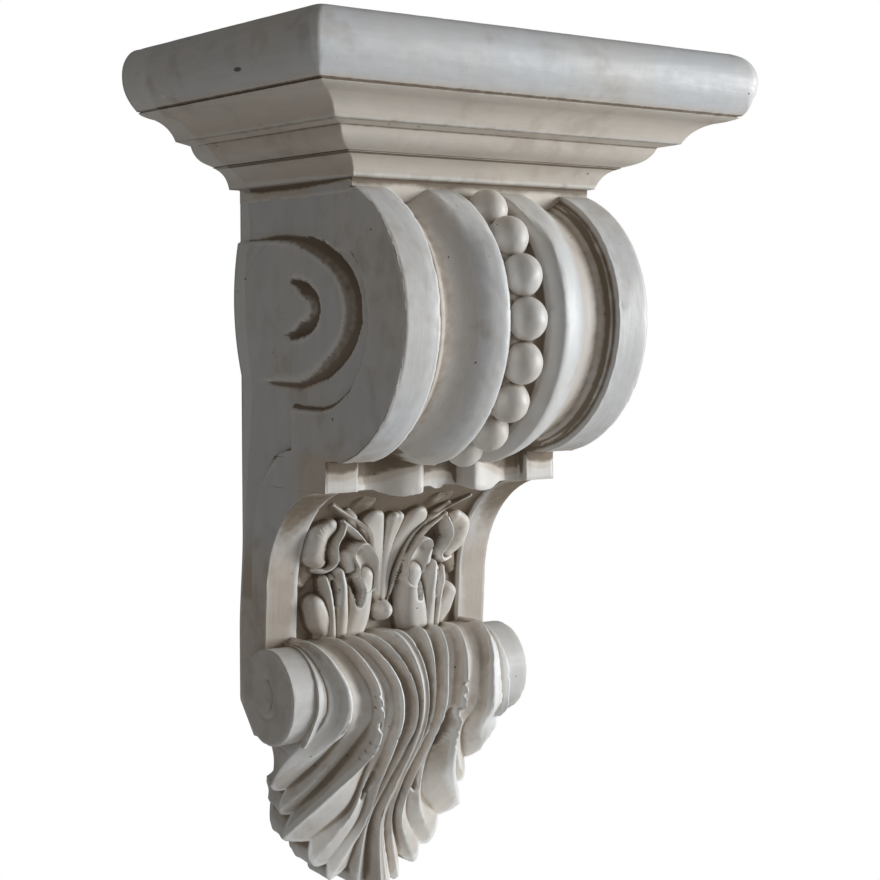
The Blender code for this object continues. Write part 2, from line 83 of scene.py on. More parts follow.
# Scroll, block and hollow front
HALF_BODY = 0.0787
SCROLL_RADIUS = 0.0732
FLARE = 0.0036
SCROLL_SWELL = 0.0045
SCROLL_DEPTH = 0.0980
SCROLL_DROP = 0.1477
SCROLL_TOP = SCROLL_DROP - SCROLL_RADIUS
BAND_WIDTH = 0.0207
PANEL_HALF = HALF_BODY - BAND_WIDTH
FILLET_WIDTH = 0.0022
FILLET_IN = PANEL_HALF - FILLET_WIDTH
FILLET_DEPTH = 0.0038
COVE_DEPTH = 0.0076
COVE_RISE_WIDTH = 0.0065
COVE_END = FILLET_IN - COVE_RISE_WIDTH
CREST_IN, CREST_OUT = 0.0177, 0.0217
RIDGE_HEIGHT = 0.0033
CHANNEL_HALF = 0.0125
CHANNEL_WALL = 0.0020
CHANNEL_DEPTH = 0.0070
NECK_DEPTH = 0.1215
NECK_DROP = 0.0817
BLOCK_DEPTH = 0.0940
BLOCK_DROP = 0.2237
BLOCK_FOOT = 0.2412
PENDANT_FALL = 0.0040
CAVETTO_DEPTH = 0.0595
CAVETTO_HEIGHT = 0.0640
CAVETTO_BATTER = 0.06
WAIST_DEPTH = 0.0305
WAIST_FOOT = 0.3680
BODY_FOOT = 0.3930
FOOT_TAPER = 0.0100
PANEL_RECESS = 0.0045

# String of beads in the scroll's channel
BEAD_SINK = 0.0058
BEAD_SIZES = {"Radius": 0.0118, "Across": 0.93, "Arc Radius": SCROLL_RADIUS - BEAD_SINK,
              "Swell": SCROLL_SWELL, "First Angle": math.radians(60.0), "Pitch": math.radians(19.9),
              "Count": 8}

# Sides: the flat behind the S ribbon, and the oval volute on it. Centres are (depth, drop).
SIDE_SINK = 0.0027
HOLLOW_CENTRE = (0.082, 0.1477)
HOLLOW_REACH = 0.054
HOLLOW_HEIGHT = 0.0985
RIBBON_STEP = 0.057
RIBBON_LOW = 0.2837
VOLUTE_CENTRE = (0.058, 0.1432)
VOLUTE_FRONT_REACH = 0.068
VOLUTE_WALL_DROP = 0.1375
VOLUTE_HEIGHT = 0.080
VOLUTE_RISE = 0.0019
VOLUTE_BEVEL = 0.0085
EYE_CENTRE = (0.0640, 0.1420)
EYE_REACH = 0.0270
EYE_HEIGHT = 0.0306
EYE_BEVEL = 0.0085
EYE_DEEP = 0.0060
OUTER_TURN = (0.0370, 0.1310, 0.0240, 0.0255)  # depth, drop, half length, half height

# Roll across the waist's foot
ROLL_RADIUS = 0.0273
ROLL_LENGTH = 0.1672
ROLL_DEPTH = 0.0388
ROLL_DROP = 0.3604
# Arcs of the hook, as (centre, radius, start, length, strength), in radii and degrees
HOOK_ARCS = (((-0.30, -0.02), 0.42, 285.0, 130.0, 1.0),
             ((-0.08, 0.05), 0.40, 30.0, 130.0, 0.45))

# Camera and light
CAMERA_PLACE = (-0.6094, -0.9046, -0.04805)
CAMERA_AIM = (0.5974, 0.7992, -0.0660)
LENS = 74.13
SENSOR = 36.0
FLOOR_GAP = 0.50
FLOOR_RADIUS = 1.5
LIT_PLACE = (0.0, -0.08, -0.12)
ROOM_TINT = (1.0, 0.945, 0.88, 1.0)
ROOM_STRENGTH = 0.134

# A hair's gap between surfaces, and the small round of an arris
LOOSE = 0.0001
EDGE = 0.0006
MILLIMETRE = 0.001
MIRROR = np.array((-1, 1, 1))
SIDEWAYS = np.array((1, 0, 0))


def at_place(x, depth, drop):
    """World points from arrays of x, depth and drop."""
    x, depth, drop = np.broadcast_arrays(x, depth, drop)
    return np.stack((x, -depth, TOP - drop), axis=-1)


def smooth_step(low, high, value):
    """0 at the low value and 1 at the high one, smooth between them."""
    share = np.clip((value - low) / (high - low), 0, 1)
    return share * share * (3 - 2 * share)


def spaced(knots, spacing):
    """Values through every knot, with even steps of at most the spacing between two knots."""
    values = [knots[0]]
    for start, end in zip(knots, knots[1:]):
        count = max(1, math.ceil(abs(end - start) / spacing))
        values += [start + (end - start) * (i + 1) / count for i in range(count)]
    return np.array(values)


def spline_through(points, shares):
    """Smooth curve through 3-D points, sampled at shares of its length."""
    points = np.asarray(points, float)
    gaps = np.linalg.norm(np.diff(points, axis=0), axis=1) ** 0.5
    knots = np.concatenate(([0], np.cumsum(gaps)))
    padded = np.vstack((2 * points[0] - points[1], points, 2 * points[-1] - points[-2]))
    padded_knots = np.concatenate(([-gaps[0]], knots, [knots[-1] + gaps[-1]]))
    dense = []
    for i in range(1, len(padded) - 2):
        t0, t1, t2, t3 = padded_knots[i - 1:i + 3]
        t = np.linspace(t1, t2, 12, endpoint=False)[:, None]
        a1 = (t1 - t) / (t1 - t0) * padded[i - 1] + (t - t0) / (t1 - t0) * padded[i]
        a2 = (t2 - t) / (t2 - t1) * padded[i] + (t - t1) / (t2 - t1) * padded[i + 1]
        a3 = (t3 - t) / (t3 - t2) * padded[i + 1] + (t - t2) / (t3 - t2) * padded[i + 2]
        b1 = (t2 - t) / (t2 - t0) * a1 + (t - t0) / (t2 - t0) * a2
        b2 = (t3 - t) / (t3 - t1) * a2 + (t - t1) / (t3 - t1) * a3
        dense.append((t2 - t) / (t2 - t1) * b1 + (t - t1) / (t2 - t1) * b2)
    dense = np.vstack(dense + [points[-1:]])
    length = np.concatenate(([0], np.cumsum(np.linalg.norm(np.diff(dense, axis=0), axis=1))))
    wanted = np.asarray(shares) * length[-1]
    return np.stack([np.interp(wanted, length, dense[:, axis]) for axis in range(3)], axis=-1)


def lattice_noise(points, size, seed):
    """Smooth noise between -1 and 1 at each point, its lumps about the given size wide."""
    cell = points / size + 512.0
    base = np.floor(cell).astype(np.int64)
    part = cell - base
    part = part * part * (3 - 2 * part)
    total = np.zeros(len(points))
    for corner in itertools.product((0, 1), repeat=3):
        at = base + corner
        mixed = (at[:, 0] * 73856093) ^ (at[:, 1] * 19349663) ^ (at[:, 2] * 83492791) ^ (seed * 26544357)
        mixed = ((mixed ^ (mixed >> 13)) * 1274126177) & 0x7FFFFFFF
        mixed = ((mixed ^ (mixed >> 16)) * 668265263) & 0x7FFFFFFF
        weight = np.prod(np.where(corner, part, 1 - part), axis=1)
        total += weight * (mixed / 0x3FFFFFFF - 1)
    return total


# Meshes

def grid_faces(rows, columns, ring):
    """Quads over a grid of points, joined round its columns when it is a ring."""
    index = np.arange(rows * columns).reshape(rows, columns)
    right = np.roll(index, -1, axis=1) if ring else index[:, 1:]
    left = index if ring else index[:, :-1]
    quads = np.stack((left[:-1], right[:-1], right[1:], left[1:]), axis=-1)
    return quads.reshape(-1, 4).tolist()


def placed(name, data):
    """A new object in the scene."""
    thing = bpy.data.objects.new(name, data)
    bpy.context.scene.collection.objects.link(thing)
    return thing


def smooth_piece(name, data):
    data.polygons.foreach_set("use_smooth", [True] * len(data.polygons))
    return placed(name, data)


def new_piece(name, points, faces):
    """A smooth-shaded object whose faces point outwards."""
    data = bpy.data.meshes.new(name)
    data.from_pydata(np.asarray(points).reshape(-1, 3).tolist(), [], faces)
    mesh = bmesh.new()
    mesh.from_mesh(data)
    bmesh.ops.remove_doubles(mesh, verts=mesh.verts[:], dist=1e-6)
    bmesh.ops.recalc_face_normals(mesh, faces=mesh.faces[:])
    mesh.to_mesh(data)
    mesh.free()
    return smooth_piece(name, data)


def ring_piece(name, rings):
    """A closed body from rings of points, with a flat cap on the first and the last."""
    rings = np.asarray(rings)
    rows, columns = rings.shape[:2]
    faces = grid_faces(rows, columns, True)
    faces.append(list(range(columns)))
    faces.append(list(range((rows - 1) * columns, rows * columns)))
    return new_piece(name, rings, faces)


# Shares of the way back at which a slab's edge gets a row of points
BACK_STEPS = (0.02, 0.06, 0.14, 0.30, 0.55, 0.80, 1.0)


def slab_piece(name, front, back):
    """A closed body from a front grid of points, its border carried back in steps to a flat behind."""
    rows, columns = front.shape[:2]
    index = np.arange(rows * columns).reshape(rows, columns)
    border = np.concatenate((index[0], index[1:, -1], index[-1, -2::-1], index[-2:0:-1, 0]))
    points = [front.reshape(-1, 3)]
    faces = grid_faces(rows, columns, False)
    edge = points[0][border]
    behind = back(edge)
    count, last, start = len(border), border, rows * columns
    for share in BACK_STEPS:
        ring = start + np.arange(count)
        points.append(edge + (behind - edge) * share)
        faces += np.stack((last, np.roll(last, -1), np.roll(ring, -1), ring), axis=-1).tolist()
        last, start = ring, start + count
    faces.append(last.tolist())
    return new_piece(name, np.vstack(points), faces)


def values_of(items, field, width=3, kind=float):
    """Rows of numbers read from every item of a mesh."""
    values = np.empty(len(items) * width, dtype=kind)
    items.foreach_get(field, values)
    return values.reshape(-1, width)


def coordinates(data):
    return values_of(data.vertices, "co")


def normals_of(data):
    return values_of(data.vertex_normals, "vector")


def relaxed(points, edges, passes):
    """Points drawn towards the mean of their neighbours a number of times."""
    count = len(points)
    ends = np.concatenate((edges[:, 0], edges[:, 1]))
    others = np.concatenate((edges[:, 1], edges[:, 0]))
    share = 1 / np.maximum(np.bincount(ends, minlength=count), 1)
    for _ in range(passes):
        mean = np.stack([np.bincount(ends, values, count) * share for values in points[others].T], axis=-1)
        points = points + 0.6 * (mean - points)
    return points


def edges_of(data):
    return values_of(data.edges, "vertices", 2, np.int64)


def hollowness(data, passes):
    """Distance of each point below (+) or above (-) its relaxed surroundings."""
    points = coordinates(data)
    moved = relaxed(points, edges_of(data), passes) - points
    return np.einsum("ij,ij->i", moved, normals_of(data))


def keep_values(piece, name, values):
    """Store one number for each point, for the paint to read."""
    layer = piece.data.attributes.new(name, "FLOAT", "POINT")
    everywhere = np.broadcast_to(values, len(piece.data.vertices))
    layer.data.foreach_set("value", everywhere.astype(np.float32))


def weathered(piece, ripple, wear, seed):
    """Ripple the faces by hand-made unevenness and rub and chip the arrises; the back stays flat."""
    data = piece.data
    points = coordinates(data)
    normals = normals_of(data)
    arris = np.clip(-hollowness(data, 6) / 0.00035, 0, 1)
    coarse = lattice_noise(points, 0.018, seed) + 0.5 * lattice_noise(points, 0.006, seed + 1)
    chipped = smooth_step(0.15, 0.75, lattice_noise(points, 0.0045, seed + 2))
    nibbled = lattice_noise(points, 0.0019, seed + 3)
    amount = ripple * coarse - wear * arris * (0.25 + chipped + 0.35 * nibbled)
    away = smooth_step(0.0, 0.004, -points[:, 1])
    points = points + normals * (amount * away)[:, None]
    data.vertices.foreach_set("co", points.ravel())
    data.update()


# Shelf

def curved_member(start, end, hollow, pull):
    """Points after start on a quarter-round or a cove between two (inset, drop) points."""
    corner = (end[0], start[1]) if hollow else (start[0], end[1])
    middle = ((start[0] + end[0]) / 2, (start[1] + end[1]) / 2)
    control = [m + pull * (c - m) for m, c in zip(middle, corner)]
    points = []
    for t in np.linspace(0, 1, 15)[1:]:
        points.append(tuple((1 - t) ** 2 * a + 2 * t * (1 - t) * c + t * t * b
                            for a, c, b in zip(start, control, end)))
    return points


def straight_member(start, end, spacing=0.0012):
    count = max(1, round(math.dist(start, end) / spacing))
    return [tuple(a + (b - a) * (i + 1) / count for a, b in zip(start, end)) for i in range(count)]


def bullnose(steps=26):
    """(inset, drop) points down the slab's edge: a quarter oval, then a slower curve under it."""
    points = []
    for turn in np.linspace(math.pi / 2, 0, steps):
        points.append((SLAB_ROUND * (1 - math.cos(turn)), NOSE_DROP * (1 - math.sin(turn))))
    for share in np.linspace(0, 1, steps)[1:]:
        points.append((SLAB_TUCK * share ** 2.3, NOSE_DROP + (SLAB_HEIGHT - NOSE_DROP) * share))
    return points


def far_end(point, member):
    """The (inset, drop) point at a member's far end."""
    return (point[0] + member[0], point[1] + member[1])


def shelf_profile():
    """(inset, drop) points of the shelf's edge, from its top surface down to the neck."""
    notch = (SLAB_TUCK + 0.0008, SLAB_HEIGHT + 0.0009)
    profile = bullnose() + [(SLAB_TUCK + 0.0022, SLAB_HEIGHT + 0.0003), notch]
    lip = far_end((SLAB_TUCK, SLAB_HEIGHT), LIP)
    profile += curved_member(notch, lip, hollow=False, pull=0.35)
    cove_foot = far_end(lip, COVE)
    profile += curved_member(lip, cove_foot, hollow=True, pull=0.45)
    step = far_end(cove_foot, STEP)
    profile += straight_member(cove_foot, step)
    ovolo_foot = far_end(step, OVOLO)
    profile += curved_member(step, ovolo_foot, hollow=False, pull=0.55)
    quirk = far_end(ovolo_foot, QUIRK)
    profile += straight_member(ovolo_foot, (quirk[0] - 0.0004, quirk[1] - 0.0006), spacing=0.0008)
    profile += [(quirk[0] + 0.0012, quirk[1] - 0.0002), quirk]
    low_edge = far_end(quirk, LOW_COVE)
    profile += curved_member(quirk, low_edge, hollow=True, pull=0.6)
    return profile + straight_member(low_edge, far_end(low_edge, LOW_EDGE))


def three_sides(half, depth, drop, corners):
    """One ring of the shelf: left side from the wall, rounded corner, front, and back to the wall."""
    left, right = (side_and_corner(half, depth, drop, corner) for corner in corners)
    across = spaced((-0.995, -0.97, 0.97, 0.995), 0.0135)
    start, end = -half + corners[0], half - corners[1]
    front = at_place((start + end) / 2 + (end - start) / 2 * across, depth, drop)
    return np.concatenate((left, front, right[::-1] * MIRROR))


def side_and_corner(half, depth, drop, corner):
    """Points along the left side from the wall and round its front corner."""
    side = spaced((0.0, 0.8, 0.97), 0.0125)
    turn = np.linspace(0, math.pi / 2, 11)
    straight = at_place(-half, (depth - corner) * np.append(side, 0.995), drop)
    arc = at_place(-half + corner * (1 - np.cos(turn)), depth - corner * (1 - np.sin(turn)), drop)
    return np.concatenate((straight, arc))


def shelf():
    """Slab and mouldings, mitred at the front corners and closed flat on top and at the wall."""
    rings = []
    for inset in TOP_INSETS:
        rings.append(three_sides(SHELF_WIDTH / 2 - inset, SHELF_DEPTH - inset, 0.0, SLAB_CORNERS))
    profile = shelf_profile()
    for inset, drop in profile:
        sharper = float(smooth_step(0.024, SLAB_HEIGHT, drop))
        corners = [corner + (ARRIS_ROUND - corner) * sharper for corner in SLAB_CORNERS]
        rings.append(three_sides(SHELF_WIDTH / 2 - inset, SHELF_DEPTH - inset, drop, corners))
    for drop in np.linspace(profile[-1][1] + LOOSE, NECK_DROP, 8):
        rings.append(neck_ring(HALF_BODY + 4 * LOOSE, drop))
    for drop in (NECK_DROP + LOOSE, NECK_DROP + 0.5 * NECK_UNDER, NECK_DROP + NECK_UNDER):
        rings.append(neck_ring(HALF_BODY - NECK_TUCK, drop))
    return ring_piece("moulded_shelf", rings)


def neck_ring(half, drop):
    """One ring of the neck, its sides carved and flared like the body's."""
    return flared(with_side(three_sides(half, NECK_DEPTH, drop, (ARRIS_ROUND, ARRIS_ROUND))))


def with_side(points):
    """The neck's sides keep to the height of the body's sides under them."""
    depth, drop = -points[..., 1], TOP - points[..., 2]
    side = np.sign(points[..., 0]) * (np.abs(points[..., 0]) > HALF_BODY - 0.0035)
    moved = side * side_height(depth, np.maximum(drop, SCROLL_TOP))
    points = points + moved[..., None] * SIDEWAYS
    over_body = drop > SCROLL_TOP - 0.0002
    points[..., 1] = np.where(over_body, np.minimum(points[..., 1], -BACK_INSET), points[..., 1])
    return points


def flared(points):
    """The body and neck grow slightly wider towards the front."""
    side = np.clip(points[..., 0] / HALF_BODY, -1, 1)
    wider = side * FLARE * smooth_step(0.050, 0.165, -points[..., 1])
    return points + wider[..., None] * SIDEWAYS


# Scroll body

# Edges of the front's members, from the middle out, and their heights as (places, heights)
RELIEF_X = (0.0, CHANNEL_HALF, CHANNEL_HALF + 0.0006, CHANNEL_HALF + CHANNEL_WALL, CREST_IN, CREST_OUT,
            COVE_END, FILLET_IN - 0.0008, FILLET_IN, PANEL_HALF - 0.0004, PANEL_HALF, PANEL_HALF + 0.0012,
            HALF_BODY - EDGE, HALF_BODY)
RIDGE_SHAPE = ((0, CHANNEL_HALF, CHANNEL_HALF + CHANNEL_WALL, CREST_IN, CREST_OUT),
               (-CHANNEL_DEPTH, -CHANNEL_DEPTH, 0, RIDGE_HEIGHT, RIDGE_HEIGHT))
BAND_SHAPE = ((COVE_END, FILLET_IN - 0.0008, FILLET_IN, PANEL_HALF - 0.0004, PANEL_HALF, HALF_BODY - EDGE,
               HALF_BODY), (-COVE_DEPTH, -FILLET_DEPTH - 0.0012, -FILLET_DEPTH, -FILLET_DEPTH, 0, 0, -EDGE))


def front_relief(x):
    """Height above the bands across the scroll's front."""
    x = np.abs(x)
    share = np.clip((x - CREST_OUT) / (COVE_END - CREST_OUT), 0, 1)
    fall = RIDGE_HEIGHT - (RIDGE_HEIGHT + COVE_DEPTH) * (1 - np.cos(np.pi * share)) / 2
    height = np.where(x < CREST_OUT, np.interp(x, *RIDGE_SHAPE), fall)
    crown = 0.0007 * np.sin(np.pi * np.clip((x - CREST_IN + 0.002) / (CREST_OUT - CREST_IN + 0.004), 0, 1))
    return np.where(x > COVE_END, np.interp(x, *BAND_SHAPE), height) + crown


def cavetto_depth(drop):
    """Depth of the bands below the block: a quarter oval, then nearly straight."""
    below = (drop - BLOCK_FOOT) / CAVETTO_HEIGHT
    if below < 1:
        return WAIST_DEPTH + CAVETTO_DEPTH * (1 - math.sqrt(1 - (1 - max(below, 0)) ** 2))
    return WAIST_DEPTH - CAVETTO_BATTER * (drop - BLOCK_FOOT - CAVETTO_HEIGHT)


def scroll_radius(angle):
    """The scroll opens slightly as it turns under, and angle is in degrees above level."""
    return SCROLL_RADIUS + SCROLL_SWELL * np.maximum(0.0, -angle / 90) ** 2


def inside_oval(depth, drop, centre, front, behind, height):
    """Rough distance inside an oval in the side's plane, negative outside it."""
    reach = np.where(depth > centre[0], front, behind)
    ahead, up = (depth - centre[0]) / reach, (centre[1] - drop) / (height / 2)
    radius = np.hypot(ahead, up)
    size = np.hypot(reach * ahead, height / 2 * up) / np.maximum(radius, 1e-6)
    return (1 - radius) * size


def past_step(distance):
    """0 to 1 over the short slope of a carved step, by the distance past it."""
    return smooth_step(-0.0004, 0.0009, distance)


def ribbon_flat(depth, drop):
    """1 on the flat behind the S ribbon, 0 on the ribbon, with a slope between that fades at the top."""
    centre, low = HOLLOW_CENTRE, BLOCK_DROP - 0.008
    oval = inside_oval(depth, drop, centre, HOLLOW_REACH, 0.12, HOLLOW_HEIGHT)
    round_share = past_step(oval) * smooth_step(0.105, 0.122, drop)
    level = np.clip((centre[1] - np.maximum(drop, 0.118)) / (HOLLOW_HEIGHT / 2), 0, 0.99)
    upper_edge = centre[0] + HOLLOW_REACH * np.sqrt(1 - level ** 2)
    slope = 0.0012 + 0.060 * smooth_step(0.128, 0.108, drop)
    upper_share = np.clip((upper_edge - depth) / slope, 0, 1) * (drop < centre[1])
    behind_share = past_step(RIBBON_STEP - depth) * (drop < low) * (drop >= centre[1])
    sweep = 0.75 * np.sqrt(np.clip(1 - ((RIBBON_LOW - drop) / CAVETTO_HEIGHT) ** 2, 0, 1))
    edge = np.where(drop < RIBBON_LOW, RIBBON_STEP * (1 - sweep), 0.25 * RIBBON_STEP)
    lower_share = past_step(edge - depth) * (drop >= low)
    fade = 1 - 0.9 * smooth_step(0.27, 0.33, drop)
    return np.maximum.reduce((round_share, upper_share, behind_share, lower_share)) * fade


def towards_front(depth, drop, centre, start, end):
    """1 straight in front of a centre, falling to nothing at an angle above and one below it."""
    angle = np.degrees(np.arctan2(centre[1] - drop, depth - centre[0]))
    above = 1 - smooth_step(0.2 * start, start, angle)
    below = 1 - smooth_step(0.2 * end, end, -angle)
    return np.where(angle > 0, above, below)


def volute_height(depth, drop):
    """Height of the volute's plate over the ribbon, lowest in the gouge along its front edge."""
    near_wall = smooth_step(0.058, 0.010, depth)
    inside = inside_oval(depth, drop, VOLUTE_CENTRE, VOLUTE_FRONT_REACH, 0.30, VOLUTE_HEIGHT)
    facing = towards_front(depth, drop, VOLUTE_CENTRE, 118, 82)
    bevel = 0.0010 + VOLUTE_BEVEL * facing
    gouge = 0.0032 * towards_front(depth, drop, VOLUTE_CENTRE, 95, 80)
    foot = -SIDE_SINK - gouge
    swell = np.clip(1 - ((drop - VOLUTE_WALL_DROP) / (0.53 * VOLUTE_HEIGHT)) ** 2, 0, 1)
    share = np.clip(inside / bevel, 0, 1)
    climb = foot + (VOLUTE_RISE - foot) * (share + near_wall * (swell - share))
    outside = -SIDE_SINK - gouge * smooth_step(-0.0012, 0.0, inside)
    return np.where(inside > 0, climb, outside)


def eye_cut(depth, drop):
    """Depth cut by the spiral's inner turn, a bevel that falls outwards to a steep wall."""
    inside = inside_oval(depth, drop, EYE_CENTRE, EYE_REACH, EYE_REACH, EYE_HEIGHT)
    facing = towards_front(depth, drop, EYE_CENTRE, 135, 160)
    width = 0.0018 + EYE_BEVEL * facing ** 2
    cut = np.clip(1 - inside / width, 0, 1) * smooth_step(-0.0007, 0.0, inside)
    around = np.hypot((depth - OUTER_TURN[0]) / OUTER_TURN[2], (drop - OUTER_TURN[1]) / OUTER_TURN[3])
    line = np.exp(-((around - 1) / 0.045) ** 2) * smooth_step(OUTER_TURN[0], OUTER_TURN[0] - 0.01, depth)
    return EYE_DEEP * cut * smooth_step(0.0, 0.75, facing) + 0.0006 * line


def side_height(depth, drop):
    """How far the side stands out from the ribbon's plane."""
    flat = -SIDE_SINK * ribbon_flat(depth, drop)
    volute = volute_height(depth, drop) - eye_cut(depth, drop)
    lowest = np.where(volute < -SIDE_SINK, np.minimum(flat, volute), flat)
    return np.where(volute > -SIDE_SINK, volute, lowest)


def body_stations():
    """(depth, drop, out, down, share of the scroll's relief) down the front, neck to waist."""
    stations = []
    for angle in np.arange(88, -81.8, -1.1):
        turn = math.radians(angle)
        out, down = math.cos(turn), -math.sin(turn)
        radius = float(scroll_radius(angle))
        stations.append((SCROLL_DEPTH + radius * out, SCROLL_DROP + radius * down, out, down, 1.0))
    stations.append((BLOCK_DEPTH, BLOCK_DROP + 0.0003, 1.0, 1.0, 1.0))
    for drop in np.linspace(BLOCK_DROP + 0.0008, BLOCK_FOOT - EDGE, 9):
        stations.append((BLOCK_DEPTH, drop, 1.0, 0.0, 1.0))
    stations.append((BLOCK_DEPTH - EDGE, BLOCK_FOOT, 0.9, 0.0, 1.0))
    for drop in np.concatenate((BLOCK_FOOT + np.array((0.0, 0.0004, 0.001, 0.0018, 0.0028)),
                                np.arange(BLOCK_FOOT + 0.004, BODY_FOOT, 0.0028))):
        stations.append((cavetto_depth(drop), drop, 1.0, 0.0, 0.0))
    return stations


def pendant_fall(x):
    """How much further down the ridges reach than the bands at the block's foot."""
    x = np.abs(x)
    lobe = np.sin(np.pi * np.clip((x - CHANNEL_HALF) / (0.75 * PANEL_HALF - CHANNEL_HALF), 0, 1)) ** 0.7
    return PENDANT_FALL * lobe + 0.5 * PENDANT_FALL * np.clip(1 - (x / 0.4 / CHANNEL_HALF) ** 2, 0, 1)


def scroll_body():
    """Neck to waist: the fluted scroll, the block, the hollow front, and both carved sides."""
    half = spaced(RELIEF_X, 0.0017)
    across = np.concatenate((-half[:0:-1], half))
    relief = front_relief(across)
    fall = pendant_fall(across)
    field = np.where(np.abs(across) < PANEL_HALF, -PANEL_RECESS, 0.0)
    back = np.concatenate((np.linspace(0.004, 0.985, 160), [1.0]))
    rings = []
    for depth, drop, out, down, carved in body_stations():
        height = relief if carved else field
        lower = fall * smooth_step(BLOCK_FOOT - 0.008, BLOCK_FOOT, drop) if carved else 0.0
        under_neck = float(smooth_step(0.112, 0.088, drop))
        height = np.where(height > 0, height * (1 - under_neck), height)
        taper = FOOT_TAPER * np.clip((drop - WAIST_FOOT) / (BODY_FOOT - WAIST_FOOT), 0, 1)
        front = at_place(across * (1 - taper / HALF_BODY), depth + out * height, drop + down * height + lower)
        wall_drop = min(max(drop, SCROLL_TOP), BODY_FOOT)
        side_depth = depth * (1 - back)
        side_drop = drop + (wall_drop - drop) * back
        side = at_place(HALF_BODY + side_height(side_depth, side_drop) - taper, side_depth, side_drop)
        rings.append(flared(np.concatenate((front, side, side[::-1] * MIRROR))))
    return ring_piece("scroll_body", rings)


# Beads

def add_node(tree, kind, inputs=(), **settings):
    """A node with its settings, and its inputs linked to sockets or set to plain values."""
    node = tree.nodes.new(kind)
    for name, value in settings.items():
        setattr(node, name, value)
    for place, value in dict(inputs).items():
        if isinstance(value, bpy.types.NodeSocket):
            tree.links.new(value, node.inputs[place])
        else:
            node.inputs[place].default_value = value
    return node


def math_node(tree, operation, *values):
    """One step of arithmetic on sockets and plain numbers."""
    return add_node(tree, "ShaderNodeMath", enumerate(values), operation=operation).outputs[0]


def bead_tree(material):
    """Beads set round the scroll's centre at an even pitch."""
    tree = bpy.data.node_groups.new("string_of_beads", "GeometryNodeTree")
    tree.interface.new_socket("Geometry", in_out="INPUT", socket_type="NodeSocketGeometry")
    sizes = {}
    for name, value in BEAD_SIZES.items():
        kind = "NodeSocketInt" if isinstance(value, int) else "NodeSocketFloat"
        sizes[name] = tree.interface.new_socket(name, in_out="INPUT", socket_type=kind).identifier
    tree.interface.new_socket("Geometry", in_out="OUTPUT", socket_type="NodeSocketGeometry")
    given = tree.nodes.new("NodeGroupInput").outputs
    index = tree.nodes.new("GeometryNodeInputIndex").outputs[0]
    turned = math_node(tree, "MULTIPLY", index, given["Pitch"])
    angle = math_node(tree, "SUBTRACT", given["First Angle"], turned)
    under = math_node(tree, "MAXIMUM", math_node(tree, "DIVIDE", angle, -math.pi / 2), 0.0)
    swell = math_node(tree, "MULTIPLY", math_node(tree, "MULTIPLY", under, under), given["Swell"])
    reach = math_node(tree, "ADD", given["Arc Radius"], swell)
    ahead = math_node(tree, "MULTIPLY", reach, math_node(tree, "COSINE", angle))
    up = math_node(tree, "MULTIPLY", reach, math_node(tree, "SINE", angle))
    place = add_node(tree, "ShaderNodeCombineXYZ", {"Y": math_node(tree, "SUBTRACT", -SCROLL_DEPTH, ahead),
                                                    "Z": math_node(tree, "ADD", TOP - SCROLL_DROP, up)})
    line = add_node(tree, "GeometryNodeMeshLine", {"Count": given["Count"]})
    moved = add_node(tree, "GeometryNodeSetPosition", {"Geometry": line.outputs["Mesh"],
                                                       "Position": place.outputs[0]})
    ball = add_node(tree, "GeometryNodeMeshUVSphere", {"Radius": given["Radius"], "Segments": 56,
                                                       "Rings": 36})
    shape = add_node(tree, "ShaderNodeCombineXYZ", {"X": given["Across"], "Y": 1.0, "Z": 1.0})
    copies = add_node(tree, "GeometryNodeInstanceOnPoints", {
        "Points": moved.outputs[0], "Instance": ball.outputs["Mesh"], "Scale": shape.outputs[0]})
    real = add_node(tree, "GeometryNodeRealizeInstances", {0: copies.outputs[0]})
    painted = add_node(tree, "GeometryNodeSetMaterial", {"Geometry": real.outputs[0], "Material": material})
    tree.links.new(painted.outputs[0], tree.nodes.new("NodeGroupOutput").inputs[0])
    return tree, sizes


def string_of_beads(material):
    """The beads as one mesh, baked from their node tree."""
    tree, sizes = bead_tree(material)
    carrier = placed("bead_carrier", bpy.data.meshes.new("bead_carrier"))
    maker = carrier.modifiers.new("beads", "NODES")
    maker.node_group = tree
    for name, value in BEAD_SIZES.items():
        maker[sizes[name]] = value
    data = bpy.data.meshes.new_from_object(carrier.evaluated_get(bpy.context.evaluated_depsgraph_get()))
    bpy.data.objects.remove(carrier)
    return smooth_piece("string_of_beads", data)


# Roll

def hooked_cut(ahead, down):
    """Depth of the small hook cut into the roll's end, and of a fainter arc below it."""
    ahead, down = ahead / ROLL_RADIUS, down / ROLL_RADIUS
    cut = np.zeros(ahead.shape)
    for middle, radius, start, length, strength in HOOK_ARCS:
        turn = np.mod(np.degrees(np.arctan2(down - middle[1], ahead - middle[0])) - start, 360)
        away = np.hypot(ahead - middle[0], down - middle[1]) - radius
        taper = np.clip(turn / 25, 0, 1) * np.clip((length - turn) / 25, 0, 1)
        cut = np.maximum(cut, strength * np.where(turn < length, taper, 0) * np.exp(-(away / 0.045) ** 2))
    pit = np.exp(-((ahead - 0.10) ** 2 + (down - 0.02) ** 2) / 0.006)
    return 0.0020 * np.maximum(cut, 0.8 * pit)


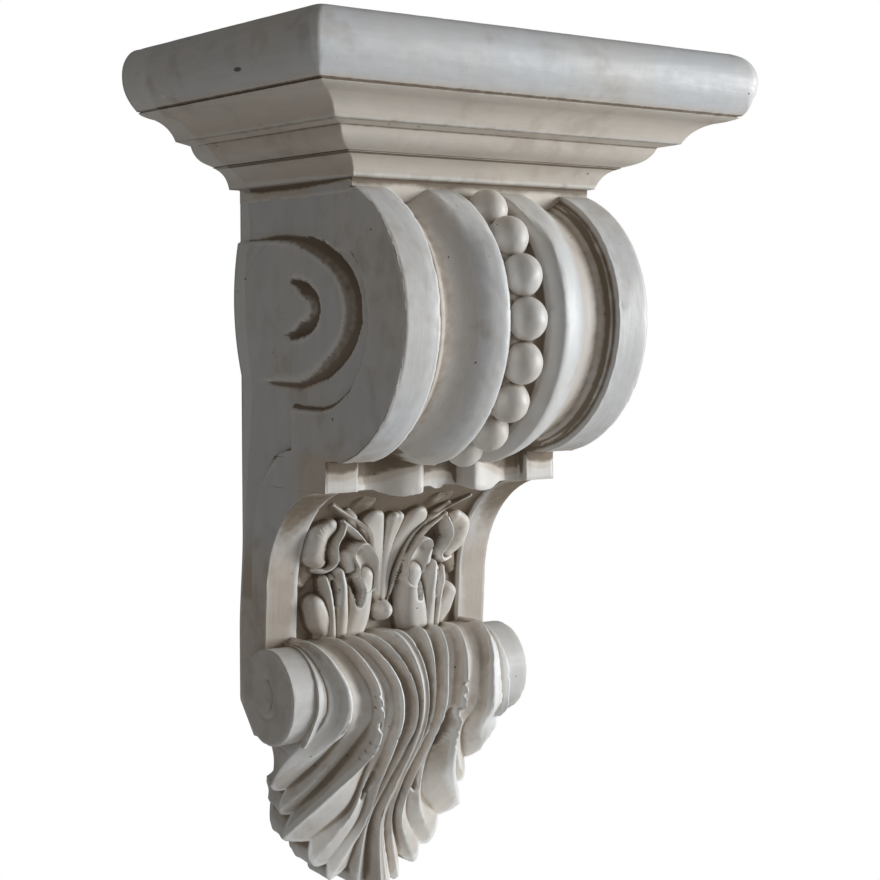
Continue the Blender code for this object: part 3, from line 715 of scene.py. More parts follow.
def roll():
    """Bolster across the waist's foot, each end cut with a small hook."""
    turn = np.linspace(0, 2 * math.pi, 120, endpoint=False)
    half = ROLL_LENGTH / 2
    disc = np.concatenate((np.linspace(0.04, 0.93, 34), (0.965, 0.985, 1.0)))
    rings = []
    for share in disc:
        radius = ROLL_RADIUS * share
        ahead, down = radius * np.cos(turn), radius * np.sin(turn)
        inset = EDGE * max(0.0, (share - 0.93) / 0.07) ** 2 + hooked_cut(ahead, down)
        rings.append(at_place(-half + inset, ROLL_DEPTH + ahead, ROLL_DROP + down))
    ahead, down = ROLL_RADIUS * np.cos(turn), ROLL_RADIUS * np.sin(turn)
    for x in spaced((-half + 0.001, -half + 0.006, half - 0.006, half - 0.001), 0.0016):
        rings.append(at_place(x, ROLL_DEPTH + ahead, ROLL_DROP + down))
    rings += [ring * MIRROR for ring in rings[len(disc) - 1::-1]]
    return ring_piece("roll", rings)


# Hanging leaf, in millimetres on the right half. Each line starts on the roll, with its x at every
# drum angle and its height as a share of a rib's, and then hangs free through (x, drop, depth).
# The lines run from the outer edge in to the midrib. A "rib" is sharp all the way, a "hidden" rib
# lies at a flute's bottom on the roll and rises below it, and a "fold" stays low.

DRUM_ANGLES = (97, 75, 52, 30, 10, -10, -28)
RIB_RISE = (3.2, 4.6, 6.0, 7.2, 8.2, 8.8, 8.8)
FLUTE_DEEP = (2.6, 4.4, 6.0, 7.0, 7.6, 7.6, 7.2)
STEEPER = (1.0, 1.0, 1.0, 1.05, 1.15, 1.3, 1.5)

LEAF_LINES = (
    ("fold", 0.0, (65, 64.5, 64, 63, 61.5, 62, 65),
     ((72, 388.5, 51), (76, 396, 45.5), (77, 404.5, 38), (76, 411, 31))),
    ("rib", 0.2, (62, 61, 58.5, 55, 51.5, 51, 53),
     ((57.5, 390, 57), (62.5, 398, 48), (70, 406.5, 38.5), (76.5, 414, 30))),
    ("fold", 0.2, (57, 55.5, 52.5, 49, 45.5, 44, 44.5),
     ((47.5, 391, 49), (51.5, 400, 41), (58, 410, 33), (65, 418, 27.5))),
    ("hidden", 0.1, (52, 50.5, 47, 43.5, 39.5, 37.5, 37.5),
     ((41, 393, 52), (46.5, 404, 44.5), (55, 417, 36), (67.5, 430.5, 24.5))),
    ("fold", 0.2, (47.5, 46, 42.5, 39, 35, 32.5, 32),
     ((34, 393, 52), (38.5, 404, 44), (47, 418, 34.5), (60.5, 433.5, 26))),
    ("rib", 0.9, (43, 42, 39, 35.5, 32, 30, 28.8),
     ((29.5, 392, 69), (35, 405, 59), (44, 419, 46.5), (65, 448, 23))),
    ("fold", 0.3, (39, 37.5, 34, 30, 26.2, 24, 22.8),
     ((22.5, 396, 54), (22.5, 412, 43.5), (26, 432, 34.5), (47, 452, 24.5))),
    ("hidden", 0.3, (36, 34.5, 31, 27, 23.5, 21.3, 20),
     ((19.5, 397, 55), (20.5, 414, 45.5), (25, 438, 36), (44, 467, 22))),
    ("fold", 0.4, (33.5, 32, 28.5, 24.2, 20.3, 18.5, 17),
     ((16, 397, 55), (15.5, 415, 43), (17.5, 442, 31.5), (34, 468, 23))),
    ("rib", 0.7, (31, 29.5, 26, 21.5, 17.5, 15.8, 14.8),
     ((13.5, 396, 63), (12.5, 416, 49.5), (13.5, 447, 33), (31, 479, 21.5))),
    ("fold", 0.8, (25.5, 23.5, 20, 15.5, 11, 9.3, 8.6),
     ((8.4, 397, 56), (8.6, 418, 41.5), (10.5, 445, 26.5), (18, 471, 22))),
    ("rib", 1.0, (20, 18, 14.5, 10.8, 7.8, 6, 5.4),
     ((5.4, 397, 62), (6, 420, 45), (9, 448, 29), (15, 484, 27))),
    ("hidden", 1.0, (11.5, 10.5, 8.8, 6.9, 5.3, 4.4, 3.9),
     ((3.6, 397, 60.5), (3.6, 420, 43), (5, 448, 24.5), (8, 481, 24))),
    ("rib", 1.0, (2.8, 2.7, 2.5, 2.3, 2.1, 2, 1.9),
     ((1.5, 397, 65), (1.3, 420, 48.5), (1.3, 448, 32), (4, 487, 36))),
    ("middle", 1.0, (0, 0, 0, 0, 0, 0, 0),
     ((0, 397, 64.2), (0, 420, 48.2), (0, 448, 32), (0, 489, 37))),
)
FLAP_LINES = (
    ("fold", 0.0, (67.5, 67.5, 67.5, 67.5, 68, 68.5, 70), ((71.2, 382.5, 62), (70.5, 388, 56))),
    ("hidden", 0.0, (64.5, 64, 62.5, 60.5, 58.5, 58.5, 60), ((62, 385, 56.5), (63, 391, 50))),
    ("rib", 0.25, (62, 61, 58.5, 55, 51.5, 51, 53), ((55.5, 385, 61.5), (57.5, 390, 57.6))),
)
LEAF_ROWS = 190
LEAF_STEPS = 9
CREST_SHARE = 0.2


def drum_point(x, angle, rise):
    """(x, drop, depth) in millimetres at a height over the roll, angle in degrees above level."""
    turn = math.radians(angle)
    reach = ROLL_RADIUS / MILLIMETRE + rise
    return (x, ROLL_DROP / MILLIMETRE - reach * math.sin(turn),
            ROLL_DEPTH / MILLIMETRE + reach * math.cos(turn))


def leaf_line(kind, steeper, drum_xs, free):
    """Control points of one line, over the roll and down to the leaf's edge."""
    low = {"rib": 0.0, "fold": 0.84, "hidden": 1.0, "middle": 0.16}[kind]
    points = []
    for x, angle, rise, flute, steep in zip(drum_xs, DRUM_ANGLES, RIB_RISE, FLUTE_DEEP, STEEPER):
        points.append(drum_point(x, angle, rise * (1 + steeper * (steep - 1)) - low * flute))
    return points + list(free)


def crest_fall(s):
    """Fall from a crest with a narrow rounded top to the flute beside it."""
    top = min(s, CREST_SHARE) / CREST_SHARE
    flank = max(0.0, (s - CREST_SHARE) / (1 - CREST_SHARE))
    return 0.07 * top ** 2 + 0.93 * (1 - (1 - flank) ** 2.4)


def height_share(s, kinds, low_part):
    """Share of the way from one line's height to the next, at share s of the way across."""
    first, last = kinds
    if "fold" in (first, last) and "hidden" in (first, last):
        upper = s * s * (3 - 2 * s)
    else:
        upper = crest_fall(s) if first in ("rib", "middle") else 1 - crest_fall(1 - s)
    lower = s ** 0.72 if first == "fold" else 1 - (1 - s) ** 0.72
    return upper + (lower - upper) * low_part


def fan_surface(lines, rows, steps):
    """Points over a fan of ribs and folds, U-shaped flutes above and creased lobes below."""
    shares = np.linspace(0, 1, rows)
    curves = [spline_through(leaf_line(*line), shares) for line in lines]
    low_part = smooth_step(0.50, 0.80, shares)
    columns = []
    for number, (start, end) in enumerate(zip(curves, curves[1:])):
        turn = np.arctan2(ROLL_DROP / MILLIMETRE - start[:, 1], start[:, 2] - ROLL_DEPTH / MILLIMETRE)
        turn = np.clip(turn, math.radians(-25), math.radians(95))
        out = np.stack((np.zeros(rows), -np.sin(turn), np.cos(turn)), axis=-1)
        rise = np.einsum("ij,ij->i", end - start, out)
        kinds = (lines[number][0], lines[number + 1][0])
        for step in range(steps):
            s = step / steps
            weight = height_share(s, kinds, low_part)
            columns.append(start + (end - start) * s + out * (rise * (weight - s))[:, None])
    columns.append(curves[-1])
    return np.stack(columns, axis=1)


def rounded_tips(points, steps, length):
    """Let each lobe's end bow outwards between its folds, so that tips are round and notches sharp."""
    rows = len(points)
    first_row = int(rows * 0.84)
    way = points[-1] - points[first_row]
    way = way / np.linalg.norm(way, axis=1)[:, None]
    pull = smooth_step(0.84, 1.0, np.arange(first_row, rows) / (rows - 1))
    bow = np.zeros(points.shape[1])
    for first in range(0, points.shape[1] - 1, steps):
        bow[first:first + steps + 1] += np.sin(np.pi * np.arange(steps + 1) / steps)
    points[first_row:] += pull[:, None, None] * (bow * length)[None, :, None] * way[None]
    return points


def carved_dents(points, dents):
    """Press long hollows into the surface: (x, drop, length, width, lean, deep), in millimetres."""
    x, drop = np.abs(points[..., 0]), points[..., 1]
    for at_x, at_drop, length, width, lean, deep in dents:
        cos, sin = math.cos(math.radians(lean)), math.sin(math.radians(lean))
        along = (drop - at_drop) * cos + (x - at_x) * sin
        aside = (x - at_x) * cos - (drop - at_drop) * sin
        inside = 1 - (along / length) ** 2 - (aside / width) ** 2
        points[..., 2] -= deep * np.clip(1.6 * inside, 0, 1)
    return points


LEAF_HEART = (0.0, 0.392)
WALL_HALF = 0.0665
WALL_OUTLINE = ((66, 394), (60, 410), (58.5, 432), (57, 448), (50, 458), (44, 462), (40, 472), (36, 484),
                (0, 489))


def to_wall(border):
    """Border points carried back to the leaf's outline on the wall, a little of each lobe kept."""
    flat = border.copy()
    flat[:, 1] = -BACK_INSET
    flat[:, 0] = np.clip(flat[:, 0], -WALL_HALF, WALL_HALF)
    across, down = np.abs(border[:, 0]), TOP - border[:, 2] - LEAF_HEART[1]
    turn = np.arctan2(down, across)
    outline = np.array(WALL_OUTLINE, float) * MILLIMETRE - LEAF_HEART
    reach = np.interp(turn, np.arctan2(outline[:, 1], outline[:, 0]), np.linalg.norm(outline, axis=1))
    share = 0.15 + 0.85 * reach / np.hypot(across, down)
    hung = down > 0
    flat[:, 0] *= np.where(hung, np.minimum(share, 0.97), 0.97)
    flat[:, 2] = np.where(hung, TOP - LEAF_HEART[1] - down * np.minimum(share, 0.99), border[:, 2])
    return flat


LEAF_DENTS = ((24.5, 387, 13, 3.4, -4, 7.0), (17.5, 420, 10, 3.0, 12, 5.0), (30.6, 360.5, 1.6, 1.8, 0, 2.4),
              (29.8, 367, 1.6, 1.8, 0, 2.6), (28.4, 377.5, 4.8, 1.6, 4, 4.2), (29.6, 389, 1.6, 1.5, -20, 2.0),
              (30.8, 394, 1.6, 1.5, -20, 2.0), (32.6, 399, 1.6, 1.5, -20, 1.8))


def both_halves(points):
    """The right half's columns, outer edge to middle, joined with their mirror image."""
    return np.concatenate((points * MIRROR, points[:, -2::-1]), axis=1)


def hanging_leaf():
    """The big leaf, over the roll and down to its curled lobes."""
    points = fan_surface(LEAF_LINES, LEAF_ROWS, LEAF_STEPS)
    points = rounded_tips(points, LEAF_STEPS, 2.5)
    points = both_halves(carved_dents(points, LEAF_DENTS)) * MILLIMETRE
    front = at_place(points[..., 0], points[..., 2], points[..., 1])
    return slab_piece("hanging_leaf", front, to_wall)


def leaf_flap(side, name):
    """The leaf's first lobe, which folds over the next one on each side of the roll."""
    points = fan_surface(FLAP_LINES, 120, 16) * MILLIMETRE
    front = at_place(side * points[..., 0], points[..., 2], points[..., 1])
    return slab_piece(name, front, to_wall)


# Carved panel: strokes on its right half, in millimetres, as (profile, points), and each point is
# (x, drop, half width, height over the ground). Later strokes lie over earlier ones.

PANEL_STROKES = (
    ("plain", ((2, 312, 3, 7), (3, 296, 4, 8), (6, 283, 6.5, 8.5), (12, 271, 8.5, 9), (15.5, 266, 9.5, 9))),
    ("plain", ((0, 312, 3, 8), (0, 285, 4, 9.5), (1, 268, 5, 10), (1.5, 264, 5, 9))),
    ("eye", ((6.8, 256, 1.3, 2), (6.4, 263, 0.9, 7))),
    ("round", ((26, 268, 3, 6), (30, 263, 4.5, 6.5), (36, 258, 3.5, 4))),
    ("round", ((24, 253, 4.5, 4), (31, 252, 4, 3))),
    ("blade", ((3, 314, 1.5, 9), (7.5, 300, 1.9, 11), (11, 285, 2.0, 12), (15, 273.5, 2.1, 12),
               (22, 266.5, 2.1, 11), (31, 261.5, 2.1, 8), (49, 252.5, 2, 4))),
    ("round", ((10, 301, 1.5, 11), (14, 288, 1.8, 13), (18.5, 278, 1.8, 13), (26, 270.5, 1.8, 11),
               (37, 263, 1.8, 7))),
    ("plain", ((50, 290, 6, 4), (54, 298, 4, 3))),
    ("round", ((45, 267.5, 7, 9.5), (50.5, 272.5, 8.5, 12.5), (50.5, 280, 8.5, 12.5), (46, 286.5, 6, 10))),
    ("eye", ((38.5, 276, 1.8, 5), (43.2, 281.5, 1.7, 6.5), (41.5, 287, 1.3, 6))),
    ("round", ((36.5, 265.5, 2.4, 11), (38.5, 270, 2.8, 15), (41, 276, 2.2, 16), (39.5, 282, 2.2, 16),
               (37.5, 287.5, 2.6, 14), (42, 292, 2.6, 11), (49, 291, 2.2, 8))),
    ("plain", ((38, 335, 10, 9), (38, 322, 9, 11), (37, 308, 7.5, 12), (37, 298, 5, 10))),
    ("plain", ((38, 331, 6, 10), (43.5, 320.5, 9, 12), (47.5, 312.5, 7.2, 12.5))),
    ("eye", ((42.5, 301, 1.6, 4), (41.5, 306.5, 1.0, 11))),
    ("round", ((37, 332, 5, 12.5), (38.5, 316, 3.6, 13.5), (41, 303, 3.4, 13.5), (42, 297, 3, 11))),
    ("round", ((31, 334, 8, 13), (31.5, 317, 6.4, 15), (32.5, 301, 5, 16), (33.5, 294, 4, 14.5))),
    ("plain", ((25.5, 336, 11, 13), (21, 321, 11.5, 15.5), (18.5, 308, 9.5, 16.5), (17.5, 297, 8.0, 17))),
    ("spoon", ((17, 300, 7.4, 17.5), (18, 289, 8.0, 18), (22, 282.5, 7.0, 16))),
    ("plain", ((27, 291, 4.5, 14.5), (27.5, 285, 5.0, 14))),
    ("eye", ((22, 312.5, 2.1, 6), (21.8, 305.5, 3.3, 3.5), (24, 299, 1.9, 6))),
    ("eye", ((36, 312, 1.5, 6), (36.5, 305, 2.2, 4), (37.5, 299, 1.4, 5))),
)
EGG = (0, 319, 6.2, 7.2, 15.5)  # x, drop, half width, half height, rise
PANEL_FOOT = 0.338
PANEL_STEP = 0.00042
PANEL_BACK = 0.012
RIM = 0.80


def stroke_profile(kind, share):
    """Height across a stroke, from its middle (0) to its edge (1)."""
    if kind == "round":
        return np.sqrt(np.clip(1 - share ** 2, 0, 1))
    if kind == "plain":
        return np.clip(1 - share ** 3.0, 0, 1) ** 0.6
    if kind == "blade":
        return np.clip(1 - share, 0, 1) ** 0.75
    bowl = 0.66 + 0.34 * np.clip(share / RIM, 0, 1) ** 2.2
    return bowl * np.sqrt(np.clip(1 - (np.clip(share - RIM, 0, None) / (1 - RIM)) ** 2, 0, 1))


def lay_stroke(height, x, drop, kind, path):
    """The height grid with one stroke raised over it, or an eye pressed into it."""
    share, level = np.full(x.shape, 9.0), np.zeros(x.shape)
    for (x0, d0, w0, h0), (x1, d1, w1, h1) in zip(path, path[1:]):
        along = ((x - x0) * (x1 - x0) + (drop - d0) * (d1 - d0)) / ((x1 - x0) ** 2 + (d1 - d0) ** 2)
        along = np.clip(along, 0, 1)
        away = np.hypot(x - x0 - along * (x1 - x0), drop - d0 - along * (d1 - d0)) / (w0 + along * (w1 - w0))
        nearer = away < share
        share = np.where(nearer, away, share)
        level = np.where(nearer, h0 + along * (h1 - h0), level)
    if kind == "eye":
        return np.where(share < 1, np.minimum(height, level + (height - level) * share ** 4), height)
    return np.maximum(height, level * stroke_profile(kind, np.minimum(share, 1)))


def fine_path(path):
    """A stroke's points joined by a smooth curve, with its width and height between them."""
    points = np.array(path, float)
    flat = np.column_stack((points[:, :2], np.zeros(len(points))))
    shares = np.linspace(0, 1, 4 * len(points))
    curve = spline_through(flat, shares)
    gone = np.concatenate(([0], np.cumsum(np.linalg.norm(np.diff(points[:, :2], axis=0), axis=1))))
    width, height = (np.interp(shares * gone[-1], gone, values) for values in (points[:, 2], points[:, 3]))
    return np.column_stack((curve[:, :2], width, height))


def carved_panel():
    """The two sprays in the hollow front, raised on a fine grid."""
    drops = np.arange(BLOCK_FOOT + 0.0004, PANEL_FOOT, PANEL_STEP)
    half = np.arange(0, PANEL_HALF, PANEL_STEP)
    x, drop = np.meshgrid(np.append(half, PANEL_HALF) / MILLIMETRE, drops / MILLIMETRE)
    height = np.zeros(x.shape)
    for kind, path in PANEL_STROKES:
        height = lay_stroke(height, x, drop, kind, fine_path(path))
    egg_x, egg_drop, egg_wide, egg_tall, egg_high = EGG
    egg = np.clip(1 - ((x - egg_x) / egg_wide) ** 2 - ((drop - egg_drop) / egg_tall) ** 2, 0, 1)
    height = np.maximum(height, egg_high * np.sqrt(egg))
    height *= smooth_step(PANEL_HALF, PANEL_HALF - 0.0015, x * MILLIMETRE)
    field = np.array([cavetto_depth(value) for value in drops])[:, None] - PANEL_RECESS - 0.0002
    right = at_place(x * MILLIMETRE, field + height * MILLIMETRE, drop * MILLIMETRE)
    front = np.concatenate((right[:, :0:-1] * MIRROR, right), axis=1)

    def into_body(border):
        return border * np.array((1, 0, 1)) + np.array((0.0, -PANEL_BACK, 0.0))

    return slab_piece("carved_panel", front, into_body)


# Paint

def colour_of(red, green, blue):
    return (red, green, blue, 1.0)


def new_group(name, inputs, *outputs):
    """A shader node group with named float or vector inputs and float outputs."""
    tree = bpy.data.node_groups.new(name, "ShaderNodeTree")
    for label, value in inputs.items():
        kind = "NodeSocketVector" if isinstance(value, tuple) else "NodeSocketFloat"
        tree.interface.new_socket(label, in_out="INPUT", socket_type=kind).default_value = value
    for label in outputs:
        tree.interface.new_socket(label, in_out="OUTPUT", socket_type="NodeSocketFloat")
    return tree, tree.nodes.new("NodeGroupInput").outputs, tree.nodes.new("NodeGroupOutput").inputs


def vector_node(tree, operation, *values):
    return add_node(tree, "ShaderNodeVectorMath", enumerate(values), operation=operation).outputs


def object_place(tree):
    return tree.nodes.new("ShaderNodeTexCoord").outputs["Object"]


def noise_value(tree, scale, detail, stretch=None):
    """A Noise texture in the object's own coordinates, stretched by a vector if one is given."""
    place = object_place(tree)
    if stretch is not None:
        place = vector_node(tree, "MULTIPLY", place, stretch)[0]
    noise = add_node(tree, "ShaderNodeTexNoise", {"Vector": place, "Scale": scale, "Detail": detail})
    return noise.outputs["Fac"]


def ramp_between(tree, value, low, high):
    """0 below the low value, 1 above the high one, smooth between them."""
    limits = {"Value": value, "From Min": low, "From Max": high}
    ramp = add_node(tree, "ShaderNodeMapRange", limits, interpolation_type="SMOOTHSTEP")
    return ramp.outputs["Result"]


def broken_up(tree, given, value, detail):
    """A value swung up and down by noise, then turned into a mask between Start and Full."""
    noise = noise_value(tree, given["Scale"], detail)
    swing = math_node(tree, "MULTIPLY", math_node(tree, "SUBTRACT", noise, 0.5), given["Breakup"])
    return ramp_between(tree, math_node(tree, "ADD", value, swing), given["Start"], given["Full"])


def glaze_group():
    """Brown glaze that stays where the carving is closed in, broken up by brushing."""
    inputs = {"Closed": 0.0, "Hollow": 0.0, "Start": 0.35, "Full": 0.85, "Breakup": 0.3, "Scale": 90.0}
    tree, given, result = new_group("glaze_in_recesses", inputs, "Mask")
    both = math_node(tree, "ADD", given["Closed"], math_node(tree, "MULTIPLY", given["Hollow"], 0.7))
    tree.links.new(broken_up(tree, given, both, 5.0), result["Mask"])
    return tree


def rubbed_and_highlight_group():
    """Pale worn paint along arrises and crests, which also stands as a painted highlight on them."""
    inputs = {"Arris": 0.0, "Start": 0.25, "Full": 0.8, "Breakup": 0.5, "Scale": 160.0}
    tree, given, result = new_group("rubbed_and_highlit_arrises", inputs, "Mask")
    tree.links.new(broken_up(tree, given, given["Arris"], 4.0), result["Mask"])
    return tree


def brush_group():
    """Streaks of a stiff brush, long one way, with broad cloudy patches beside them."""
    inputs = {"Stretch": (12.0, 12.0, 260.0), "Scale": 3.0, "Cloud Scale": 14.0}
    tree, given, result = new_group("brush_marks", inputs, "Streak", "Cloud", "Height")
    streak = noise_value(tree, given["Scale"], 4.0, given["Stretch"])
    cloud = noise_value(tree, given["Cloud Scale"], 5.0)
    tree.links.new(ramp_between(tree, streak, 0.34, 0.66), result["Streak"])
    tree.links.new(ramp_between(tree, cloud, 0.35, 0.68), result["Cloud"])
    tree.links.new(streak, result["Height"])
    return tree


def stain_group():
    """Soft brownish stains, broad patches broken up by finer ones."""
    inputs = {"Scale": 16.0, "Fine Scale": 75.0, "Start": 0.25, "Full": 0.42}
    tree, given, result = new_group("soft_stains", inputs, "Mask")
    both = math_node(tree, "MULTIPLY", noise_value(tree, given["Scale"], 4.0),
                     noise_value(tree, given["Fine Scale"], 6.0))
    tree.links.new(ramp_between(tree, both, given["Start"], given["Full"]), result["Mask"])
    return tree


def mark_group():
    """One small worn mark at a place on the object, longer one way than another."""
    inputs = {"Place": (0.0, 0.0, 0.0), "Size": (0.003, 0.003, 0.003)}
    tree, given, result = new_group("single_mark", inputs, "Mask")
    away = vector_node(tree, "SUBTRACT", object_place(tree), given["Place"])[0]
    shares = vector_node(tree, "DIVIDE", away, given["Size"])[0]
    mark = ramp_between(tree, vector_node(tree, "LENGTH", shares)["Value"], 0.6, 1.0)
    tree.links.new(math_node(tree, "SUBTRACT", 1.0, mark), result["Mask"])
    return tree


def pinhole_group():
    """Scattered small round pits, some cells of the scatter left without one."""
    tree, given, result = new_group("pinholes", {"Scale": 110.0, "Size": 0.09, "Share": 0.2}, "Mask")
    cells = add_node(tree, "ShaderNodeTexVoronoi", {"Vector": object_place(tree), "Scale": given["Scale"]})
    parts = add_node(tree, "ShaderNodeSeparateColor", {"Color": cells.outputs["Color"]}).outputs
    chosen = math_node(tree, "LESS_THAN", parts[0], given["Share"])
    size = math_node(tree, "MULTIPLY", given["Size"], math_node(tree, "ADD", parts[1], 0.4))
    inner = math_node(tree, "MULTIPLY", size, 0.5)
    pit = math_node(tree, "SUBTRACT", 1.0, ramp_between(tree, cells.outputs["Distance"], inner, size))
    tree.links.new(math_node(tree, "MULTIPLY", pit, chosen), result["Mask"])
    return tree


def grain_group():
    """Fine tooth of chalky paint over a slightly lumpy ground."""
    tree, given, result = new_group("chalky_grain", {"Fine Scale": 1500.0, "Lump Scale": 130.0}, "Height")
    fine = noise_value(tree, given["Fine Scale"], 2.0)
    lump = noise_value(tree, given["Lump Scale"], 3.0)
    tree.links.new(math_node(tree, "ADD", math_node(tree, "MULTIPLY", fine, 0.25), lump), result["Height"])
    return tree


GLAZE, RUBBED_AND_HIGHLIGHT, BRUSH, STAIN = glaze_group(), rubbed_and_highlight_group(), brush_group(), stain_group()
MARK, PINHOLES, GRAIN = mark_group(), pinhole_group(), grain_group()

# Linear colours of the finish
CHALK_WHITE = colour_of(0.74, 0.735, 0.725)
WARM_WHITE = colour_of(0.73, 0.70, 0.655)
COOL_WHITE = colour_of(0.70, 0.72, 0.745)
WARM_BEIGE = colour_of(0.72, 0.63, 0.525)
GREY_FILM = colour_of(0.46, 0.43, 0.395)
STAIN_BROWN = colour_of(0.40, 0.325, 0.255)
BROWN_GLAZE = colour_of(0.17, 0.118, 0.070)
# Pale worn paint for chips and rubbed arrises; on arrises and crests it is also a painted highlight
PALE_WEAR_AND_HIGHLIGHT = colour_of(0.90, 0.90, 0.885)
PIT_BROWN = colour_of(0.09, 0.065, 0.045)
WHITE = colour_of(1.0, 1.0, 1.0)

# Brush directions, as stretches of the noise along X, Y and Z
LEVEL_BRUSH = (16.0, 16.0, 120.0)
UPRIGHT_BRUSH = (90.0, 40.0, 16.0)
ROUND_BRUSH = (50.0, 50.0, 50.0)
ALONG_ROLL_BRUSH = (14.0, 120.0, 120.0)

# Marks that the photograph shows, as (colour, place, size)
SHELF_MARKS = (
    (PIT_BROWN, (-0.1490, -0.1205, 0.0754), (0.006, 0.0045, 0.0013)),
    (PALE_WEAR_AND_HIGHLIGHT, (-0.1490, -0.0381, 0.0704), (0.006, 0.0030, 0.0011)),
    (PALE_WEAR_AND_HIGHLIGHT, (-0.1490, -0.0198, 0.0699), (0.006, 0.0014, 0.0011)),
)
SCROLL_MARKS = (
    (PIT_BROWN, (0.0, -0.0870, -0.1265), (0.0014, 0.008, 0.0014)),
    (PALE_WEAR_AND_HIGHLIGHT, (-0.0780, -0.0945, -0.0068), (0.006, 0.0015, 0.0012)),
)


class Finish:
    """Builds one paint material, mixing colours one over the other."""

    def __init__(self, name, ground):
        self.material = bpy.data.materials.new(name)
        self.material.use_nodes = True
        self.tree = self.material.node_tree
        self.shader = self.tree.nodes["Principled BSDF"]
        rgb = self.tree.nodes.new("ShaderNodeRGB")
        rgb.outputs[0].default_value = ground
        self.colour = rgb.outputs[0]

    def group(self, group, **values):
        inputs = {label.replace("_", " "): value for label, value in values.items()}
        return add_node(self.tree, "ShaderNodeGroup", inputs, node_tree=group).outputs

    def stored(self, name):
        return add_node(self.tree, "ShaderNodeAttribute", attribute_name=name).outputs["Fac"]

    def over(self, colour, mask, amount):
        """Lay a colour over the ones so far, by a mask and a share."""
        share = math_node(self.tree, "MULTIPLY", mask, amount)
        colours = {"A": self.colour, "B": colour, "Factor": share}
        self.colour = add_node(self.tree, "ShaderNodeMix", colours, data_type="RGBA").outputs["Result"]


def aged_paint(name, ground, other, streak_way, glaze, rubbed_and_highlit, film, start, full, marks=()):
    """White paint brushed one way, glazed brown in its recesses and rubbed back on its edges, the rubbed
    edges also a painted highlight.
    """
    finish = Finish(name, ground)
    tree, shader = finish.tree, finish.shader
    recess = {"Closed": finish.stored("closed"), "Hollow": finish.stored("hollow"), "Full": full}
    brush = finish.group(BRUSH, Stretch=streak_way)
    finish.over(other, brush["Cloud"], 0.6)
    finish.over(WARM_BEIGE, finish.stored("warm"), 0.75)
    finish.over(GREY_FILM, brush["Streak"], film)
    finish.over(STAIN_BROWN, finish.group(STAIN)["Mask"], 0.34)
    # Brown film from the stored share: low down on the scroll, and as painted shade in its right cove
    finish.over(STAIN_BROWN, finish.stored("dull_and_shade"), 0.62)
    finish.over(WARM_BEIGE, finish.group(GLAZE, Start=0.4 * start, Scale=60.0, **recess)["Mask"], 0.7)
    deep = finish.group(GLAZE, Start=start, Breakup=0.30, Scale=210.0, **recess)["Mask"]
    finish.over(BROWN_GLAZE, deep, glaze)
    # Rubbed pale paint on arrises and crests, partly wear and partly a painted highlight
    worn_and_highlit = finish.group(RUBBED_AND_HIGHLIGHT, Arris=finish.stored("arris"), Start=0.35 - 0.25 * rubbed_and_highlit,
                        Full=0.9 - 0.4 * rubbed_and_highlit)["Mask"]
    finish.over(PALE_WEAR_AND_HIGHLIGHT, worn_and_highlit, rubbed_and_highlit)
    pits = finish.group(PINHOLES)["Mask"]
    finish.over(PIT_BROWN, pits, 0.85)
    finish.over(PIT_BROWN, finish.group(PINHOLES, Scale=420.0, Size=0.12, Share=0.06)["Mask"], 0.5)
    for colour, place, size in marks:
        finish.over(colour, finish.group(MARK, Place=place, Size=size)["Mask"], 0.9)
    tree.links.new(finish.colour, shader.inputs["Base Color"])
    rough = math_node(tree, "ADD", math_node(tree, "MULTIPLY", deep, 0.22), 0.40)
    streaked = math_node(tree, "MULTIPLY", brush["Streak"], 0.10)
    tree.links.new(math_node(tree, "ADD", rough, streaked), shader.inputs["Roughness"])
    raised = math_node(tree, "ADD", finish.group(GRAIN)["Height"], brush["Height"])
    height = math_node(tree, "SUBTRACT", raised, math_node(tree, "MULTIPLY", pits, 3.0))
    bump = add_node(tree, "ShaderNodeBump", {"Strength": 0.55, "Distance": 0.00028, "Height": height})
    tree.links.new(bump.outputs["Normal"], shader.inputs["Normal"])
    return finish.material


# How far, how steeply and how often each point looks for near surfaces
REACH = 0.012
RAY_LIFT = 0.0004
RAY_TILT = 0.95
RAY_COUNT = 6

# Depths at which a fine and a broad hollow count in full, and the share of yellowing on plain pieces
FINE_HOLLOW = 0.0006
BROAD_HOLLOW = 0.0022
EVEN_WARMTH = 0.35

# Hand-made unevenness, and how far the arrises are rubbed down
RIPPLE = 0.00012
WEAR = 0.0004


def closed_in(piece, tree):
    """Share of the near surroundings that other surfaces fill, at every vertex."""
    places, normals = coordinates(piece.data), normals_of(piece.data)
    aside = np.cross(normals, np.where(np.abs(normals[:, 2:]) < 0.8, (0.0, 0.0, 1.0), (1.0, 0.0, 0.0)))
    aside /= np.linalg.norm(aside, axis=1)[:, None]
    up = np.cross(normals, aside)
    filled = np.zeros(len(places))
    starts = places + normals * RAY_LIFT
    for ray in range(RAY_COUNT + 1):
        turn = 2 * math.pi * ray / RAY_COUNT
        lean = 0.0 if ray == RAY_COUNT else RAY_TILT
        ways = normals * math.cos(lean) + (aside * math.cos(turn) + up * math.sin(turn)) * math.sin(lean)
        for number, (start, way) in enumerate(zip(starts.tolist(), ways.tolist())):
            distance = tree.ray_cast(start, way, REACH)[3]
            if distance is not None:
                filled[number] += 1 - distance / REACH
    return relaxed(filled[:, None] / (RAY_COUNT + 1), edges_of(piece.data), 4)[:, 0]


